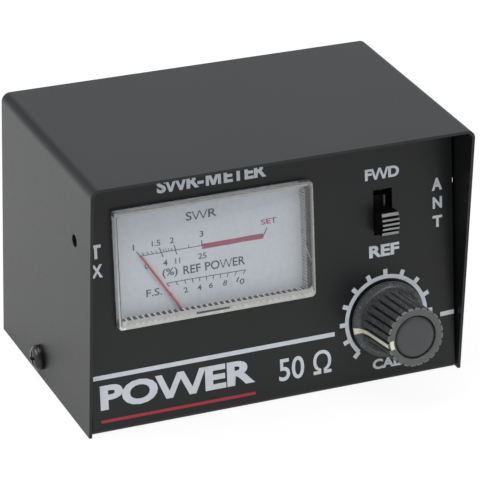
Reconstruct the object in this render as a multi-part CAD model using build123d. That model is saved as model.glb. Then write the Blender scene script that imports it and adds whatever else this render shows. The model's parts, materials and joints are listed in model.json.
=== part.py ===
from build123d import *
import math
import os

# A two-socket SWR meter: a folded cover over a U chassis whose front panel leans back.
# World frame: X to the right, Y to the rear, Z up. The origin is the middle of the chassis floor's
# underside. Millimetres throughout.

# --- case ---
CASE_W = 106.0          # outside width of the cover
CASE_D = 64.5           # depth of the cover
CASE_H = 69.5           # height of the cover
SHEET = 0.8             # steel thickness of cover and chassis
COVER_BEND = 2.4        # outside radius of the cover's folds
CHASSIS_BEND = 1.5      # outside radius of the chassis's folds
EDGE_ROUND = 0.32       # rounding of the cover's painted front and rear edges
PANEL_CORNER = 1.8      # rounding of the panels' upper corners, to clear the cover's folds
PANEL_W = 103.2         # width of the front and rear panels
PANEL_TILT = 8.62       # degrees that the front panel leans back
PANEL_FOOT = 0.5        # panel plane's foot behind the cover's front edge
TOP_GAP = 0.5           # panels stop this far under the cover's top
REAR_INSET = 1.0        # rear panel's outer face inside the cover's rear edge

FRONT_Y = -CASE_D / 2
REAR_Y = CASE_D / 2 - REAR_INSET          # rear panel's outer face
PANEL_TOP = CASE_H - SHEET - TOP_GAP
TILT = math.radians(PANEL_TILT)

# Local frame of the front panel: x across, s up the slope, o out of the panel's face.
PANEL = Plane(
    origin=(0, FRONT_Y + PANEL_FOOT, 0),
    x_dir=(1, 0, 0),
    z_dir=(0, -math.cos(TILT), math.sin(TILT)),
)
BACK = -SHEET           # the panel's rear face, in o

# --- side screws and bracket holes ---
SCREW_Y = 3.45
SCREW_Z = 5.7
SCREW_HEAD_R = 3.4
SCREW_HEAD_H = 2.4
SCREW_R = 1.72
SCREW_LENGTH = 8.0
SCREW_RECESS = 3.6
TAB_LENGTH = 16.0
TAB_HEIGHT = 12.0
TAB_OUT = CASE_W / 2 - SHEET - 0.1        # tab's outer face, just inside the cover
BRACKET_HOLE_R = 1.65
BRACKET_Y = FRONT_Y + 10.9
BRACKET_Z = 51.1

# --- panel meter ---
METER_X = -16.66        # middle of the meter
WINDOW_W = 54.4
WINDOW_S0 = 28.2
WINDOW_S1 = 59.1
LENS_PROUD = 2.6        # lens face in front of the panel
LENS_WALL = 1.2
FLANGE_HALF = 29.7      # half width of the lens flange and the housing
METER_S0 = 5.4
METER_S1 = 61.3
TAPE = 0.4
FLANGE_O = BACK - TAPE                    # front face of the lens flange
FLANGE_T = 0.8
HOUSING_O = FLANGE_O - FLANGE_T           # front rim of the housing
HOUSING_BACK = -24.0
HOUSING_WALL = 1.5
FLOOR_O = HOUSING_BACK + HOUSING_WALL
DIAL_O = -2.9           # front face of the dial
DIAL_T = 0.4
DIAL_S0 = 21.5
DIAL_INSET = 1.8        # dial's edge inside the housing's outline
DIAL_SCREW_X = 23.0
DIAL_SCREW_S = 25.0
MOVEMENT_SCREW_X = 9.5  # movement screws each side of the pivot
TERMINAL_R = 0.6
TERMINAL_END = -28.0

# --- moving-coil movement, about the pivot axis ---
PIVOT_X = -18.6
PIVOT_S = 18.75
REST_ANGLE = 33.0       # pointer leans this far left of upright at rest
STOP_ANGLE = 40.7       # stops stand this far each side of upright
POINTER_R = 31.6        # pivot to pointer tip
POINTER_O = -2.3        # middle of the pointer blade
CORE_R = 5.4
YOKE_IN = 7.6
YOKE_OUT = 11.5
CORE_O0 = -15.5
CORE_O1 = -7.5
COIL_IN = 6.0
COIL_OUT = 6.9
COIL_HALF = 1.2
COIL_O0 = -16.6
COIL_O1 = -6.4
BAR_T = 0.8             # thickness of the coil's end bars
PLATE_O0 = -18.6        # rear bridge plate
PLATE_O1 = -17.6
BRIDGE_O0 = -4.6        # front bridge
BRIDGE_O1 = -3.6
POST_X = 13.6           # bridge posts each side of the pivot
STOP_R = 9.0            # pivot to each pointer stop
HUB_T = 0.4             # thickness of the pointer's hub and arms
HUB_R = 1.6
ARM_R = 2.6             # pivot to each side weight
TAIL_R = 6.4            # pivot to the tail weight
TAIL_WEIGHT_R = 1.334   # balances the blade about the pivot
BLADE_FROM = 4.3        # the blade starts this far from the pivot
BLADE_ROOT = 0.32       # half widths at its root and tip
BLADE_TIP = 0.16
BLADE_HALF_T = 0.1
PIN_R = 0.35            # pivot pins
COLLET_R = 0.8          # hairspring collets
FRONT_PIN_O = -5.1      # outer ends of the pivot pins
REAR_PIN_O = -17.35
SPRING_IN = 0.86        # hairspring's first radius
SPRING_PITCH = 0.72
SPRING_TURNS = 3.5
SPRING_STRIP = 0.14
SPRING_WIDTH = 0.3
FRONT_SPRING_O = -5.8
REAR_SPRING_O = -17.0
JEWEL_R = 1.0

# --- FWD / REF slide switch ---
SWITCH_X = 31.33
SLOT_S0 = 40.85
SLOT_S1 = 53.15
SLOT_W = 5.45
BUTTON_W = 4.9
BUTTON_H = 6.1
BUTTON_S = 44.8         # middle of the button at REF
BUTTON_PROUD = 5.0
SWITCH_TRAVEL = 4.4
FRAME_HALF_W = 4.6
FRAME_HALF_S = 9.0
FRAME_O0 = -7.6
FRAME_O1 = -0.85
FRAME_T = 0.5
CARRIAGE_O1 = FRAME_O1 - FRAME_T - 0.05
CARRIAGE_O0 = -4.2
CARRIAGE_HALF_W = 3.9
CARRIAGE_HALF_S = 6.15
BASE_O0 = -7.4
BASE_O1 = -5.9
RIDGES = 5              # ridges across the button's face
RIDGE_DEPTH = 0.7
GROOVE_SHARE = 0.56     # groove width as a share of the ridge pitch
COLUMN_X = 2.3          # contact columns each side of the switch's middle
CONTACT_TOP = -5.1      # front faces of the fixed contacts
CLIP_FOOT = -5.05       # rear faces of the moving contacts' feet
CLIP_HALF_W = 0.7
CLIP_T = 0.6

# --- CAL potentiometer and knob ---
KNOB_X = 31.65
KNOB_S = 17.65
POT_R = 8.1
POT_O0 = -9.2
POT_O1 = -0.85
POT_PLATE = 1.35        # thickness of the front plate
POT_WALL = 0.5
KEY_X = 6.6             # locating key beside the bushing
KEY_R = 1.0
WAFER_T = 1.15
WAFER_O1 = POT_O1 - 1.4
SHOULDER_R = 4.3
SHOULDER_O0 = -3.9
ROTOR_R = 6.6
POT_LEG_S = 9.45        # terminals below the shaft
POT_LEG_X = 5.0
CLIP_GROOVE_R = 2.5
CLIP_R = 4.3
WASHER_R = 5.8
WASHER_T = 0.5
NUT_T = 2.0
BUSHING_R = 3.5
BUSHING_O = 5.0
SHAFT_R = 3.0
RUN = 0.05              # radial running clearance
SHAFT_END = 15.8
NUT_AF = 10.0
SKIRT_R = 10.3
KNOB_O0 = 0.7
KNOB_O1 = 17.3
KNOB_R = 7.97
FLUTES = 24
FLUTE_R = 0.42
FLUTE_O = 10.9          # middle and length of the flutes
FLUTE_L = 13.2
FLARE_R = 9.3           # the concave flare starts here on the skirt
GRIP_R = 7.65           # and meets the grip here
GRIP_O = 5.3            # above the skirt's underside
KNOB_EDGE = 0.35
HOLLOW_R = 6.6          # room for the nut under the knob
HOLLOW_O = 6.0
CAP_R = 5.35
CAP_O0 = 15.9
CAP_GAP = 0.2
CAP_EDGE = 0.25
POINTER_MARK = 189.0    # direction of the knob's pointer, counter-clockwise from +x

# --- front board ---
BOARD_T = 1.6
FRONT_BOARD_O1 = -12.4
FRONT_BOARD_O0 = FRONT_BOARD_O1 - BOARD_T
FRONT_BOARD_X = (21.0, 43.0)
FRONT_BOARD_S = (5.2, 57.0)
LEG_R = 0.5
LEG_END = FRONT_BOARD_O0 - 0.6

# --- rear sockets, 5/8-24 thread on a 1 inch square flange ---
SOCKET_X = 26.0
SOCKET_Z = 32.0
SOCKET_FLANGE = 25.4
SOCKET_FLANGE_T = 1.6
SOCKET_HOLE = 9.13      # half of the flange screws' spacing
BARREL_R = 7.9
BARREL_BORE = 6.1
BARREL_L = 15.0
BOSS_R = 6.0
BOSS_BORE = 4.5
BOSS_Y = 27.2
SEAT_Y = 32.0           # step between the boss's bore and the barrel's
INSULATOR_Y0 = 27.0
INSULATOR_Y1 = 40.5
CONTACT_SEAT_Y = 34.0
CONTACT_TIP_Y = 46.2
CONTACT_DEPTH = 10.5    # depth of the contact's bore
CONTACT_TAIL_Y = 20.2
SLIT = 0.4
SLIT_L = 6.0
NOTCH_W = 2.4
NOTCH_D = 0.8
CONTACT_R = 2.8
CONTACT_BORE = 2.0
CONTACT_TAIL = 1.6
M3_R = 1.5
M3_HOLE = 1.6
M3_HEAD_R = 2.75
M3_HEAD_H = 1.9
M3_LENGTH = 6.4
M3_RECESS = 2.9
NUT3_AF = 5.5
NUT3_H = 2.4
LUG_T = 0.5
LUG_R = 3.4
LUG_HALF_W = 1.5
LUG_DROP = 4.4          # strap below the screw's axis

FLANGE_Y = REAR_Y + SOCKET_FLANGE_T       # outer face of the socket flanges
INNER_Y = REAR_Y - SHEET                  # rear panel's inner face

# --- coupler board ---
COUPLER_Y0 = 21.6
COUPLER_Y1 = COUPLER_Y0 + BOARD_T
COUPLER_HALF_X = 42.0
COUPLER_Z = (18.0, 46.0)
WIRE_R = 0.65
LEAD_R = 0.3            # component leads
DIODE = (0.95, 4.2, 4.2)       # radius, length, reach of each lead from the middle
RESISTOR = (1.15, 6.3, 4.6)
CAPACITOR_R = 2.5
CAPACITOR_T = 2.0
CAPACITOR_LEAD_X = 1.3
WIRE_X = 23.5           # wires leave the front board in a column here
BOARD_BEND = 4.5        # bend radius of the wires to the coupler board
METER_BEND = 2.4
KNEE = 11.0             # straight run at each end of a wire to the coupler board


def block(x0, x1, y0, y1, z0, z1):
    """A box between two limits on each axis."""
    centre = Pos((x0 + x1) / 2, (y0 + y1) / 2, (z0 + z1) / 2)
    return centre * Box(x1 - x0, y1 - y0, z1 - z0)


def disc(x, y, r, z0, z1):
    """An upright cylinder between two heights."""
    return Pos(x, y, (z0 + z1) / 2) * Cylinder(r, z1 - z0)


def tube(x, y, r_in, r_out, z0, z1):
    return disc(x, y, r_out, z0, z1) - disc(x, y, r_in, z0 - 1, z1 + 1)


def rod_y(x, z, r, y0, y1):
    """A cylinder along Y."""
    return Pos(x, (y0 + y1) / 2, z) * Rot(90, 0, 0) * Cylinder(r, y1 - y0)


def rod_x(y, z, r, x0, x1):
    """A cylinder along X."""
    return Pos((x0 + x1) / 2, y, z) * Rot(0, 90, 0) * Cylinder(r, x1 - x0)


def hexagon(across, height):
    return extrude(RegularPolygon(across / 2, 6, major_radius=False), amount=height)


def upright_edges(shape):
    return shape.edges().filter_by(Axis.Z)


def on_panel(shape):
    """Carries a shape from the panel's local frame to the world."""
    return PANEL.location * shape


def nearest(shape, x, y):
    return shape.vertices().sort_by_distance((x, y, 0))[0]


def save(node, shape):
    solids = shape.solids()
    item = solids[0] if len(solids) == 1 else Compound(children=list(solids))
    export_step(item, os.path.join("parts", node + ".step"))


# ---------------------------------------------------------------- case


def cover():
    half = CASE_W / 2
    inner = half - SHEET
    lid = CASE_H - SHEET
    outline = Polyline(
        (-half, 0), (-half, CASE_H), (half, CASE_H), (half, 0),
        (inner, 0), (inner, lid), (-inner, lid), (-inner, 0), close=True,
    )
    face = make_face(outline)
    face = fillet([nearest(face, side * half, CASE_H) for side in (-1, 1)], COVER_BEND)
    face = fillet([nearest(face, side * inner, lid) for side in (-1, 1)], COVER_BEND - SHEET)
    shell = extrude(Plane.XZ * face, amount=CASE_D / 2, both=True)
    for end in (shell.faces().sort_by(Axis.Y)[0], shell.faces().sort_by(Axis.Y)[-1]):
        rim = [e for e in end.edges() if e.center().Z > SHEET]
        shell = fillet(rim, EDGE_ROUND)
    shell -= rod_x(SCREW_Y, SCREW_Z, SCREW_R + 0.2, -half - 1, half + 1)
    shell -= rod_x(BRACKET_Y, BRACKET_Z, BRACKET_HOLE_R, -half - 1, half + 1)
    return shell


def chassis_profile():
    lean = math.tan(TILT)
    foot = FRONT_Y + PANEL_FOOT
    back = foot + SHEET / math.cos(TILT)
    floor_corner = back + SHEET * lean
    rear_in = REAR_Y - SHEET
    outline = Polyline(
        (foot, 0), (REAR_Y, 0), (REAR_Y, PANEL_TOP), (rear_in, PANEL_TOP),
        (rear_in, SHEET), (floor_corner, SHEET),
        (back + PANEL_TOP * lean, PANEL_TOP), (foot + PANEL_TOP * lean, PANEL_TOP), close=True,
    )
    face = make_face(outline)
    face = fillet([nearest(face, foot, 0), nearest(face, REAR_Y, 0)], CHASSIS_BEND)
    inner = [nearest(face, rear_in, SHEET), nearest(face, floor_corner, SHEET)]
    return fillet(inner, CHASSIS_BEND - SHEET)


def side_tab(side):
    """An upturned tab that takes the cover screw."""
    out = side * TAB_OUT
    inner = side * (TAB_OUT - SHEET)
    x0, x1 = min(out, inner), max(out, inner)
    y0, y1 = SCREW_Y - TAB_LENGTH / 2, SCREW_Y + TAB_LENGTH / 2
    tab = block(x0, x1, y0, y1, 0, TAB_HEIGHT)
    root = side * (PANEL_W / 2 - 2)
    tab += block(min(root, out), max(root, out), y0, y1, 0, SHEET)
    return tab


def panel_cuts():
    """The front panel's openings, in its local frame."""
    half = WINDOW_W / 2 + 0.2
    window = block(METER_X - half, METER_X + half, WINDOW_S0 - 0.2, WINDOW_S1 + 0.2, -3, 3)
    window = fillet(upright_edges(window), 1.6)
    slot = block(SWITCH_X - SLOT_W / 2, SWITCH_X + SLOT_W / 2, SLOT_S0, SLOT_S1, -3, 3)
    bushing = disc(KNOB_X, KNOB_S, BUSHING_R + 0.1, -3, 3)
    key = disc(KNOB_X + KEY_X, KNOB_S, KEY_R + 0.1, -3, 3)
    return [window, slot, bushing, key]


def socket_places():
    return [(-SOCKET_X, SOCKET_Z), (SOCKET_X, SOCKET_Z)]


def socket_screw_places():
    """Centre of each flange screw, with whether it also holds a ground lug."""
    places = []
    for x, z in socket_places():
        for dx in (-SOCKET_HOLE, SOCKET_HOLE):
            for dz in (-SOCKET_HOLE, SOCKET_HOLE):
                inward = dx * x < 0 and dz < 0
                places.append((x + dx, z + dz, inward))
    return places


def chassis():
    body = extrude(Plane.YZ * chassis_profile(), amount=PANEL_W / 2, both=True)
    corners = [e for e in body.edges().filter_by(Axis.Y) if e.center().Z > PANEL_TOP - 0.01]
    body = fillet(corners, PANEL_CORNER)
    for side in (-1, 1):
        body += side_tab(side)
    body -= rod_x(SCREW_Y, SCREW_Z, SCREW_R + RUN, -CASE_W, CASE_W)
    for cut in panel_cuts():
        body -= on_panel(cut)
    for x, z in socket_places():
        body -= rod_y(x, z, BOSS_R + 0.2, INNER_Y - 1, REAR_Y + 1)
    for x, z, _ in socket_screw_places():
        body -= rod_y(x, z, M3_HOLE, INNER_Y - 1, REAR_Y + 1)
    return body


def pan_screw(head_r, head_h, shank_r, length, recess):
    """A cross-recess screw: head above z = 0, shank below."""
    head = Pos(0, 0, head_h / 2) * Cylinder(head_r, head_h)
    rim = head.edges().sort_by(Axis.Z)[-1]
    head = fillet(rim, head_h * 0.62)
    cross = Box(recess, recess * 0.24, head_h * 1.2) + Box(recess * 0.24, recess, head_h * 1.2)
    head -= Pos(0, 0, head_h) * cross
    return head + Pos(0, 0, -length / 2) * Cylinder(shank_r, length)


def cover_screws():
    screws = []
    for side in (-1, 1):
        screw = pan_screw(SCREW_HEAD_R, SCREW_HEAD_H, SCREW_R, SCREW_LENGTH, SCREW_RECESS)
        screws.append(Pos(side * CASE_W / 2, SCREW_Y, SCREW_Z) * Rot(0, side * 90, 0) * screw)
    return Compound(children=screws)


# ---------------------------------------------------------------- panel meter


def meter_block(half, s0, s1, o0, o1):
    return block(METER_X - half, METER_X + half, s0, s1, o0, o1)


def meter_lens():
    """A clear tray that stands through the panel, with a flat flange and apron behind it."""
    half = WINDOW_W / 2
    tray = meter_block(half, WINDOW_S0, WINDOW_S1, HOUSING_O, LENS_PROUD)
    tray = fillet(upright_edges(tray), 1.5)
    tray = chamfer(tray.faces().sort_by(Axis.Z)[-1].edges(), 0.55)
    flange = meter_block(FLANGE_HALF, METER_S0, METER_S1, HOUSING_O, FLANGE_O)
    flange = fillet(upright_edges(flange), 2.0)
    inner = meter_block(
        half - LENS_WALL, WINDOW_S0 + LENS_WALL, WINDOW_S1 - LENS_WALL,
        HOUSING_O - 1, LENS_PROUD - LENS_WALL,
    )
    return on_panel(tray + flange - inner)


def meter_tape():
    """Double-sided tape between the panel and the lens flange."""
    edge = 0.3
    tape = meter_block(FLANGE_HALF - edge, METER_S0 + edge, METER_S1 - edge, FLANGE_O, BACK)
    tape -= meter_block(WINDOW_W / 2 + edge, WINDOW_S0 - edge, WINDOW_S1 + edge, -3, 0)
    tape -= meter_block(FLANGE_HALF - 3.5, METER_S0 + 3.5, WINDOW_S0 - 3.0, -3, 0)
    return on_panel(tape)


def dial_screw_places():
    return [(METER_X + side * DIAL_SCREW_X, DIAL_SCREW_S) for side in (-1, 1)]


def movement_screw_places():
    return [(PIVOT_X + side * MOVEMENT_SCREW_X, PIVOT_S) for side in (-1, 1)]


def terminal_places():
    return [(METER_X + 10.0, 44.0), (METER_X - 10.0, 40.0)]


def meter_housing():
    """A deep moulded tub, open to the front, with posts for the dial and the movement."""
    tub = meter_block(FLANGE_HALF, METER_S0, METER_S1, HOUSING_BACK, HOUSING_O)
    tub = fillet(upright_edges(tub), 2.0)
    inner = meter_block(
        FLANGE_HALF - HOUSING_WALL, METER_S0 + HOUSING_WALL, METER_S1 - HOUSING_WALL,
        FLOOR_O, HOUSING_O + 1,
    )
    tub -= inner
    for x, s in dial_screw_places():
        tub += disc(x, s, 2.6, FLOOR_O, DIAL_O - DIAL_T)
        tub -= disc(x, s, 0.85, -12, 0)
    for x, s in movement_screw_places():
        tub += disc(x, s, 2.2, FLOOR_O, PLATE_O0)
        tub -= disc(x, s, 1.1, HOUSING_BACK - 1, PLATE_O0 + 1)
    for x, s in terminal_places():
        tub -= disc(x, s, TERMINAL_R + 0.02, HOUSING_BACK - 1, FLOOR_O + 1)
    return on_panel(tub)


def stop_places():
    """Pointer stops each side of upright."""
    places = []
    for side in (-1, 1):
        angle = math.radians(STOP_ANGLE) * side
        places.append((PIVOT_X + STOP_R * math.sin(angle), PIVOT_S + STOP_R * math.cos(angle)))
    return places


def meter_dial():
    """The scale plate, notched round the pivot and carrying the two pointer stops."""
    half = FLANGE_HALF - DIAL_INSET
    plate = meter_block(half, DIAL_S0, METER_S1 - DIAL_INSET, DIAL_O - DIAL_T, DIAL_O)
    plate -= disc(PIVOT_X, PIVOT_S, 7.2, -4, 0)
    for x, s in stop_places():
        plate += disc(x, s, 0.4, DIAL_O, HOUSING_O - 0.1)
    for x, s in dial_screw_places():
        plate -= disc(x, s, 1.1, -4, 0)
    return on_panel(plate)


def dial_screws():
    screws = []
    for x, s in dial_screw_places():
        screw = disc(x, s, 1.7, DIAL_O, DIAL_O + 0.7) + disc(x, s, 0.8, DIAL_O - 5, DIAL_O)
        screw -= block(x - 1.8, x + 1.8, s - 0.2, s + 0.2, DIAL_O + 0.4, DIAL_O + 1)
        screws.append(on_panel(screw))
    return Compound(children=screws)


def core_spacer(side):
    """A block in the air gap that centres the core, clear of the coil's swing."""
    gap = tube(PIVOT_X, PIVOT_S, CORE_R + RUN, YOKE_IN - RUN, PLATE_O1, CORE_O1)
    y = PIVOT_S + side * YOKE_IN
    return gap & block(PIVOT_X - 1.8, PIVOT_X + 1.8, min(PIVOT_S, y), max(PIVOT_S, y), -20, 0)


def meter_frame():
    """Rear bridge plate with the posts of the front bridge and the core's spacers."""
    plate = block(PIVOT_X - 15, PIVOT_X + 15, PIVOT_S - 8.5, PIVOT_S + 8.5, PLATE_O0, PLATE_O1)
    plate = fillet(upright_edges(plate), 2.0)
    for side in (-1, 1):
        plate += core_spacer(side)
        x = PIVOT_X + side * POST_X
        plate += disc(x, PIVOT_S, 1.4, PLATE_O0, BRIDGE_O0)
        plate -= disc(x, PIVOT_S, 0.62, BRIDGE_O0 - 4, 0)
    plate -= disc(PIVOT_X, PIVOT_S, 1.05, PLATE_O0 - 1, PLATE_O1 + 1)
    for x, s in movement_screw_places():
        plate -= disc(x, s, 0.85, PLATE_O0 - 1, PLATE_O1 + 1)
    return on_panel(plate)


def meter_front_bridge():
    reach = POST_X + 1.8
    half = 2.2
    bar = block(
        PIVOT_X - reach, PIVOT_X + reach, PIVOT_S - half, PIVOT_S + half, BRIDGE_O0, BRIDGE_O1,
    )
    bar -= disc(PIVOT_X, PIVOT_S, 1.05, -6, 0)
    for side in (-1, 1):
        bar -= disc(PIVOT_X + side * POST_X, PIVOT_S, 0.7, -6, 0)
    return on_panel(bar)


def bridge_screws():
    screws = []
    for side in (-1, 1):
        x = PIVOT_X + side * POST_X
        screw = disc(x, PIVOT_S, 1.3, BRIDGE_O1, BRIDGE_O1 + 0.8)
        screw += disc(x, PIVOT_S, 0.6, BRIDGE_O0 - 3, BRIDGE_O1)
        screws.append(on_panel(screw))
    return Compound(children=screws)


def movement_screws():
    screws = []
    for x, s in movement_screw_places():
        screw = disc(x, s, 1.9, HOUSING_BACK - 1.2, HOUSING_BACK)
        screw += disc(x, s, 0.8, HOUSING_BACK, PLATE_O1)
        screws.append(on_panel(screw))
    return Compound(children=screws)


def meter_yoke():
    return on_panel(tube(PIVOT_X, PIVOT_S, YOKE_IN, YOKE_OUT, CORE_O0, CORE_O1))


def meter_magnet():
    return on_panel(disc(PIVOT_X, PIVOT_S, CORE_R, CORE_O0, CORE_O1))


def about_pivot(shape, degrees):
    """Turns a shape drawn with its pointer upright at the origin, and moves it to the pivot."""
    return Pos(PIVOT_X, PIVOT_S, 0) * Rot(0, 0, degrees) * shape


def meter_coil():
    """A rectangular winding on its former, standing round the core."""
    outer = block(-COIL_OUT, COIL_OUT, -COIL_HALF, COIL_HALF, COIL_O0, COIL_O1)
    hole = block(-COIL_IN, COIL_IN, -3, 3, COIL_O0 + BAR_T, COIL_O1 - BAR_T)
    return on_panel(about_pivot(outer - hole, REST_ANGLE))


def meter_pivots():
    """The coil's two pivots, each with a collet for its hairspring."""
    hub_o = COIL_O1 + HUB_T
    front = disc(0, 0, PIN_R, hub_o, FRONT_PIN_O)
    front += disc(0, 0, COLLET_R, hub_o, FRONT_SPRING_O + SPRING_WIDTH)
    rear = disc(0, 0, PIN_R, REAR_PIN_O, COIL_O0)
    rear += disc(0, 0, COLLET_R, REAR_SPRING_O - 0.05, COIL_O0)
    return Compound(children=[on_panel(about_pivot(s, REST_ANGLE)) for s in (front, rear)])


def meter_pointer():
    """Hub and tail at the coil, a riser, and the long blade in front of the dial."""
    hub_o = COIL_O1 + HUB_T
    riser_end = BLADE_FROM + 0.3
    hub = disc(0, 0, HUB_R, COIL_O1, hub_o)
    hub += block(-0.5, 0.5, 0, riser_end, COIL_O1, hub_o)
    hub += block(-0.35, 0.35, -TAIL_R - 0.6, 0, COIL_O1, hub_o)
    hub += disc(0, -TAIL_R, TAIL_WEIGHT_R, COIL_O1, hub_o + 0.9)
    for side in (-1, 1):
        hub += disc(side * ARM_R, -1.2, 0.7, COIL_O1, hub_o)
        hub += block(min(0, side * ARM_R), max(0, side * ARM_R), -1.5, -0.9, COIL_O1, hub_o)
    riser = block(-0.5, 0.5, BLADE_FROM, riser_end, COIL_O1, POINTER_O + BLADE_HALF_T)
    outline = Polyline(
        (-BLADE_ROOT, BLADE_FROM), (BLADE_ROOT, BLADE_FROM),
        (BLADE_TIP, POINTER_R), (-BLADE_TIP, POINTER_R), close=True,
    )
    blade = Pos(0, 0, POINTER_O - BLADE_HALF_T) * make_face(outline)
    blade = extrude(blade, amount=2 * BLADE_HALF_T)
    return on_panel(about_pivot(hub + riser + blade, REST_ANGLE))


def hairspring(o0):
    """A flat spiral strip, wound by formula from its collet out to its anchor."""
    per_turn = 12
    steps = int(SPRING_TURNS * per_turn)

    def spiral(offset):
        points = []
        for i in range(steps + 1):
            angle = 2 * math.pi * i / per_turn
            r = SPRING_IN + offset + SPRING_PITCH * i / per_turn
            points.append((r * math.cos(angle), r * math.sin(angle)))
        return points

    near, far = spiral(0), spiral(SPRING_STRIP)
    outline = [Spline(*near), Spline(*far), Line(near[0], far[0]), Line(near[-1], far[-1])]
    face = make_face(outline)
    return on_panel(about_pivot(extrude(Pos(0, 0, o0) * face, amount=SPRING_WIDTH), 0))


def jewel_screws():
    """Two slotted jewel screws whose cups hold the pivots."""
    front = disc(PIVOT_X, PIVOT_S, JEWEL_R, -5.3, -2.6) - disc(PIVOT_X, PIVOT_S, 0.4, -6, -5.05)
    front -= block(PIVOT_X - 2, PIVOT_X + 2, PIVOT_S - 0.2, PIVOT_S + 0.2, -3.0, -2)
    rear = disc(PIVOT_X, PIVOT_S, JEWEL_R, -19.8, -17.15) - disc(PIVOT_X, PIVOT_S, 0.4, -17.4, -17)
    rear -= block(PIVOT_X - 2, PIVOT_X + 2, PIVOT_S - 0.2, PIVOT_S + 0.2, -20, -19.4)
    return Compound(children=[on_panel(front), on_panel(rear)])


def meter_terminals():
    pins = [on_panel(disc(x, s, TERMINAL_R, TERMINAL_END, -20)) for x, s in terminal_places()]
    return Compound(children=pins)


# ---------------------------------------------------------------- slide switch


def switch_frame():
    middle = (SLOT_S0 + SLOT_S1) / 2
    frame = block(
        SWITCH_X - FRAME_HALF_W, SWITCH_X + FRAME_HALF_W,
        middle - FRAME_HALF_S, middle + FRAME_HALF_S, FRAME_O0, FRAME_O1,
    )
    inner_w = FRAME_HALF_W - FRAME_T
    inner_s = FRAME_HALF_S - FRAME_T
    frame -= block(
        SWITCH_X - inner_w, SWITCH_X + inner_w,
        middle - inner_s, middle + inner_s, FRAME_O0 - 1, FRAME_O1 - FRAME_T,
    )
    half = SLOT_W / 2 + 0.3
    frame -= block(SWITCH_X - half, SWITCH_X + half, SLOT_S0 - 0.4, SLOT_S1 + 0.4, -3, 0)
    return on_panel(frame)


def switch_terminal_places():
    """Two columns of three contacts; the button bridges two rows at a time."""
    middle = (SLOT_S0 + SLOT_S1) / 2
    rows = (-SWITCH_TRAVEL, 0, SWITCH_TRAVEL)
    return [(SWITCH_X + dx, middle + ds) for dx in (-COLUMN_X, COLUMN_X) for ds in rows]


def switch_base():
    middle = (SLOT_S0 + SLOT_S1) / 2
    inner_w = FRAME_HALF_W - FRAME_T - RUN
    inner_s = FRAME_HALF_S - FRAME_T - RUN
    base = block(
        SWITCH_X - inner_w, SWITCH_X + inner_w,
        middle - inner_s, middle + inner_s, BASE_O0, BASE_O1,
    )
    for x, s in switch_terminal_places():
        base -= disc(x, s, LEG_R + RUN, -9, -5)
    return on_panel(base)


def switch_terminals():
    pins = []
    for x, s in switch_terminal_places():
        pin = disc(x, s, 0.9, BASE_O1, CONTACT_TOP)
        pin += disc(x, s, LEG_R, LEG_END, BASE_O1)
        pins.append(on_panel(pin))
    return Compound(children=pins)


def switch_actuator():
    """The ridged button on its carriage, at REF."""
    x0, x1 = SWITCH_X - BUTTON_W / 2, SWITCH_X + BUTTON_W / 2
    s0, s1 = BUTTON_S - BUTTON_H / 2, BUTTON_S + BUTTON_H / 2
    button = block(x0, x1, s0, s1, CARRIAGE_O1 - 1, BUTTON_PROUD)
    pitch = BUTTON_H / RIDGES
    half = pitch * GROOVE_SHARE / 2
    floor = BUTTON_PROUD - RIDGE_DEPTH
    for i in range(1, RIDGES):
        s = s0 + pitch * i
        button -= block(x0 - 1, x1 + 1, s - half, s + half, floor, BUTTON_PROUD + 1)
    end = BUTTON_S + CARRIAGE_HALF_S
    carriage = block(
        SWITCH_X - CARRIAGE_HALF_W, SWITCH_X + CARRIAGE_HALF_W,
        BUTTON_S - CARRIAGE_HALF_S, end, CARRIAGE_O0, CARRIAGE_O1,
    )
    channel = block(SWITCH_X + 0.85, SWITCH_X + 1.75, s1 + 0.5, end + 1, CARRIAGE_O1 - 0.7, 0)
    return on_panel(button + carriage - channel)


def switch_contacts():
    """Two bridging clips under the carriage, each spanning two rows of contacts."""
    clips = []
    reach = SWITCH_TRAVEL / 2 + 0.7
    for x in (SWITCH_X - COLUMN_X, SWITCH_X + COLUMN_X):
        clip = block(
            x - CLIP_HALF_W, x + CLIP_HALF_W,
            BUTTON_S - reach, BUTTON_S + reach, CARRIAGE_O0 - CLIP_T, CARRIAGE_O0,
        )
        for s in (BUTTON_S - SWITCH_TRAVEL / 2, BUTTON_S + SWITCH_TRAVEL / 2):
            clip += block(x - 0.5, x + 0.5, s - 0.5, s + 0.5, CLIP_FOOT, CARRIAGE_O0 - 0.5)
        clips.append(on_panel(clip))
    return Compound(children=clips)


# ---------------------------------------------------------------- potentiometer and knob


def at_knob(shape):
    return on_panel(Pos(KNOB_X, KNOB_S, 0) * shape)


def pot_bushing():
    """Front plate and threaded bushing, with the key that stops the case turning."""
    plate = disc(0, 0, POT_R, POT_O1 - POT_PLATE, POT_O1)
    plate += disc(0, 0, BUSHING_R, POT_O1, BUSHING_O)
    plate += disc(KEY_X, 0, KEY_R, POT_O1, -0.1)
    return at_knob(plate - disc(0, 0, SHAFT_R + RUN, -10, 10))


def pot_case():
    """A drawn can, open at the front, slotted below for the terminal strip."""
    front = POT_O1 - POT_PLATE
    can = disc(0, 0, POT_R, POT_O0, front)
    can -= disc(0, 0, POT_R - POT_WALL, POT_O0 + POT_WALL, front + 1)
    can -= block(-7.2, 7.2, -POT_R - 1, 0, front - 1.4, front + 1)
    return at_knob(can)


def pot_wafer():
    """The resistive disc and the strip that its three terminals stand on."""
    rear = WAFER_O1 - WAFER_T
    wafer = disc(0, 0, POT_R - POT_WALL - 0.1, rear, WAFER_O1)
    wafer += block(-6.9, 6.9, -10.5, -4.0, rear, WAFER_O1)
    return at_knob(wafer - disc(0, 0, 4.6, -5, 0))


def pot_terminals():
    rear = WAFER_O1 - WAFER_T
    pins = []
    for x in (-POT_LEG_X, 0, POT_LEG_X):
        pins.append(at_knob(disc(x, -POT_LEG_S, LEG_R, LEG_END, rear)))
    return Compound(children=pins)


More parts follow.
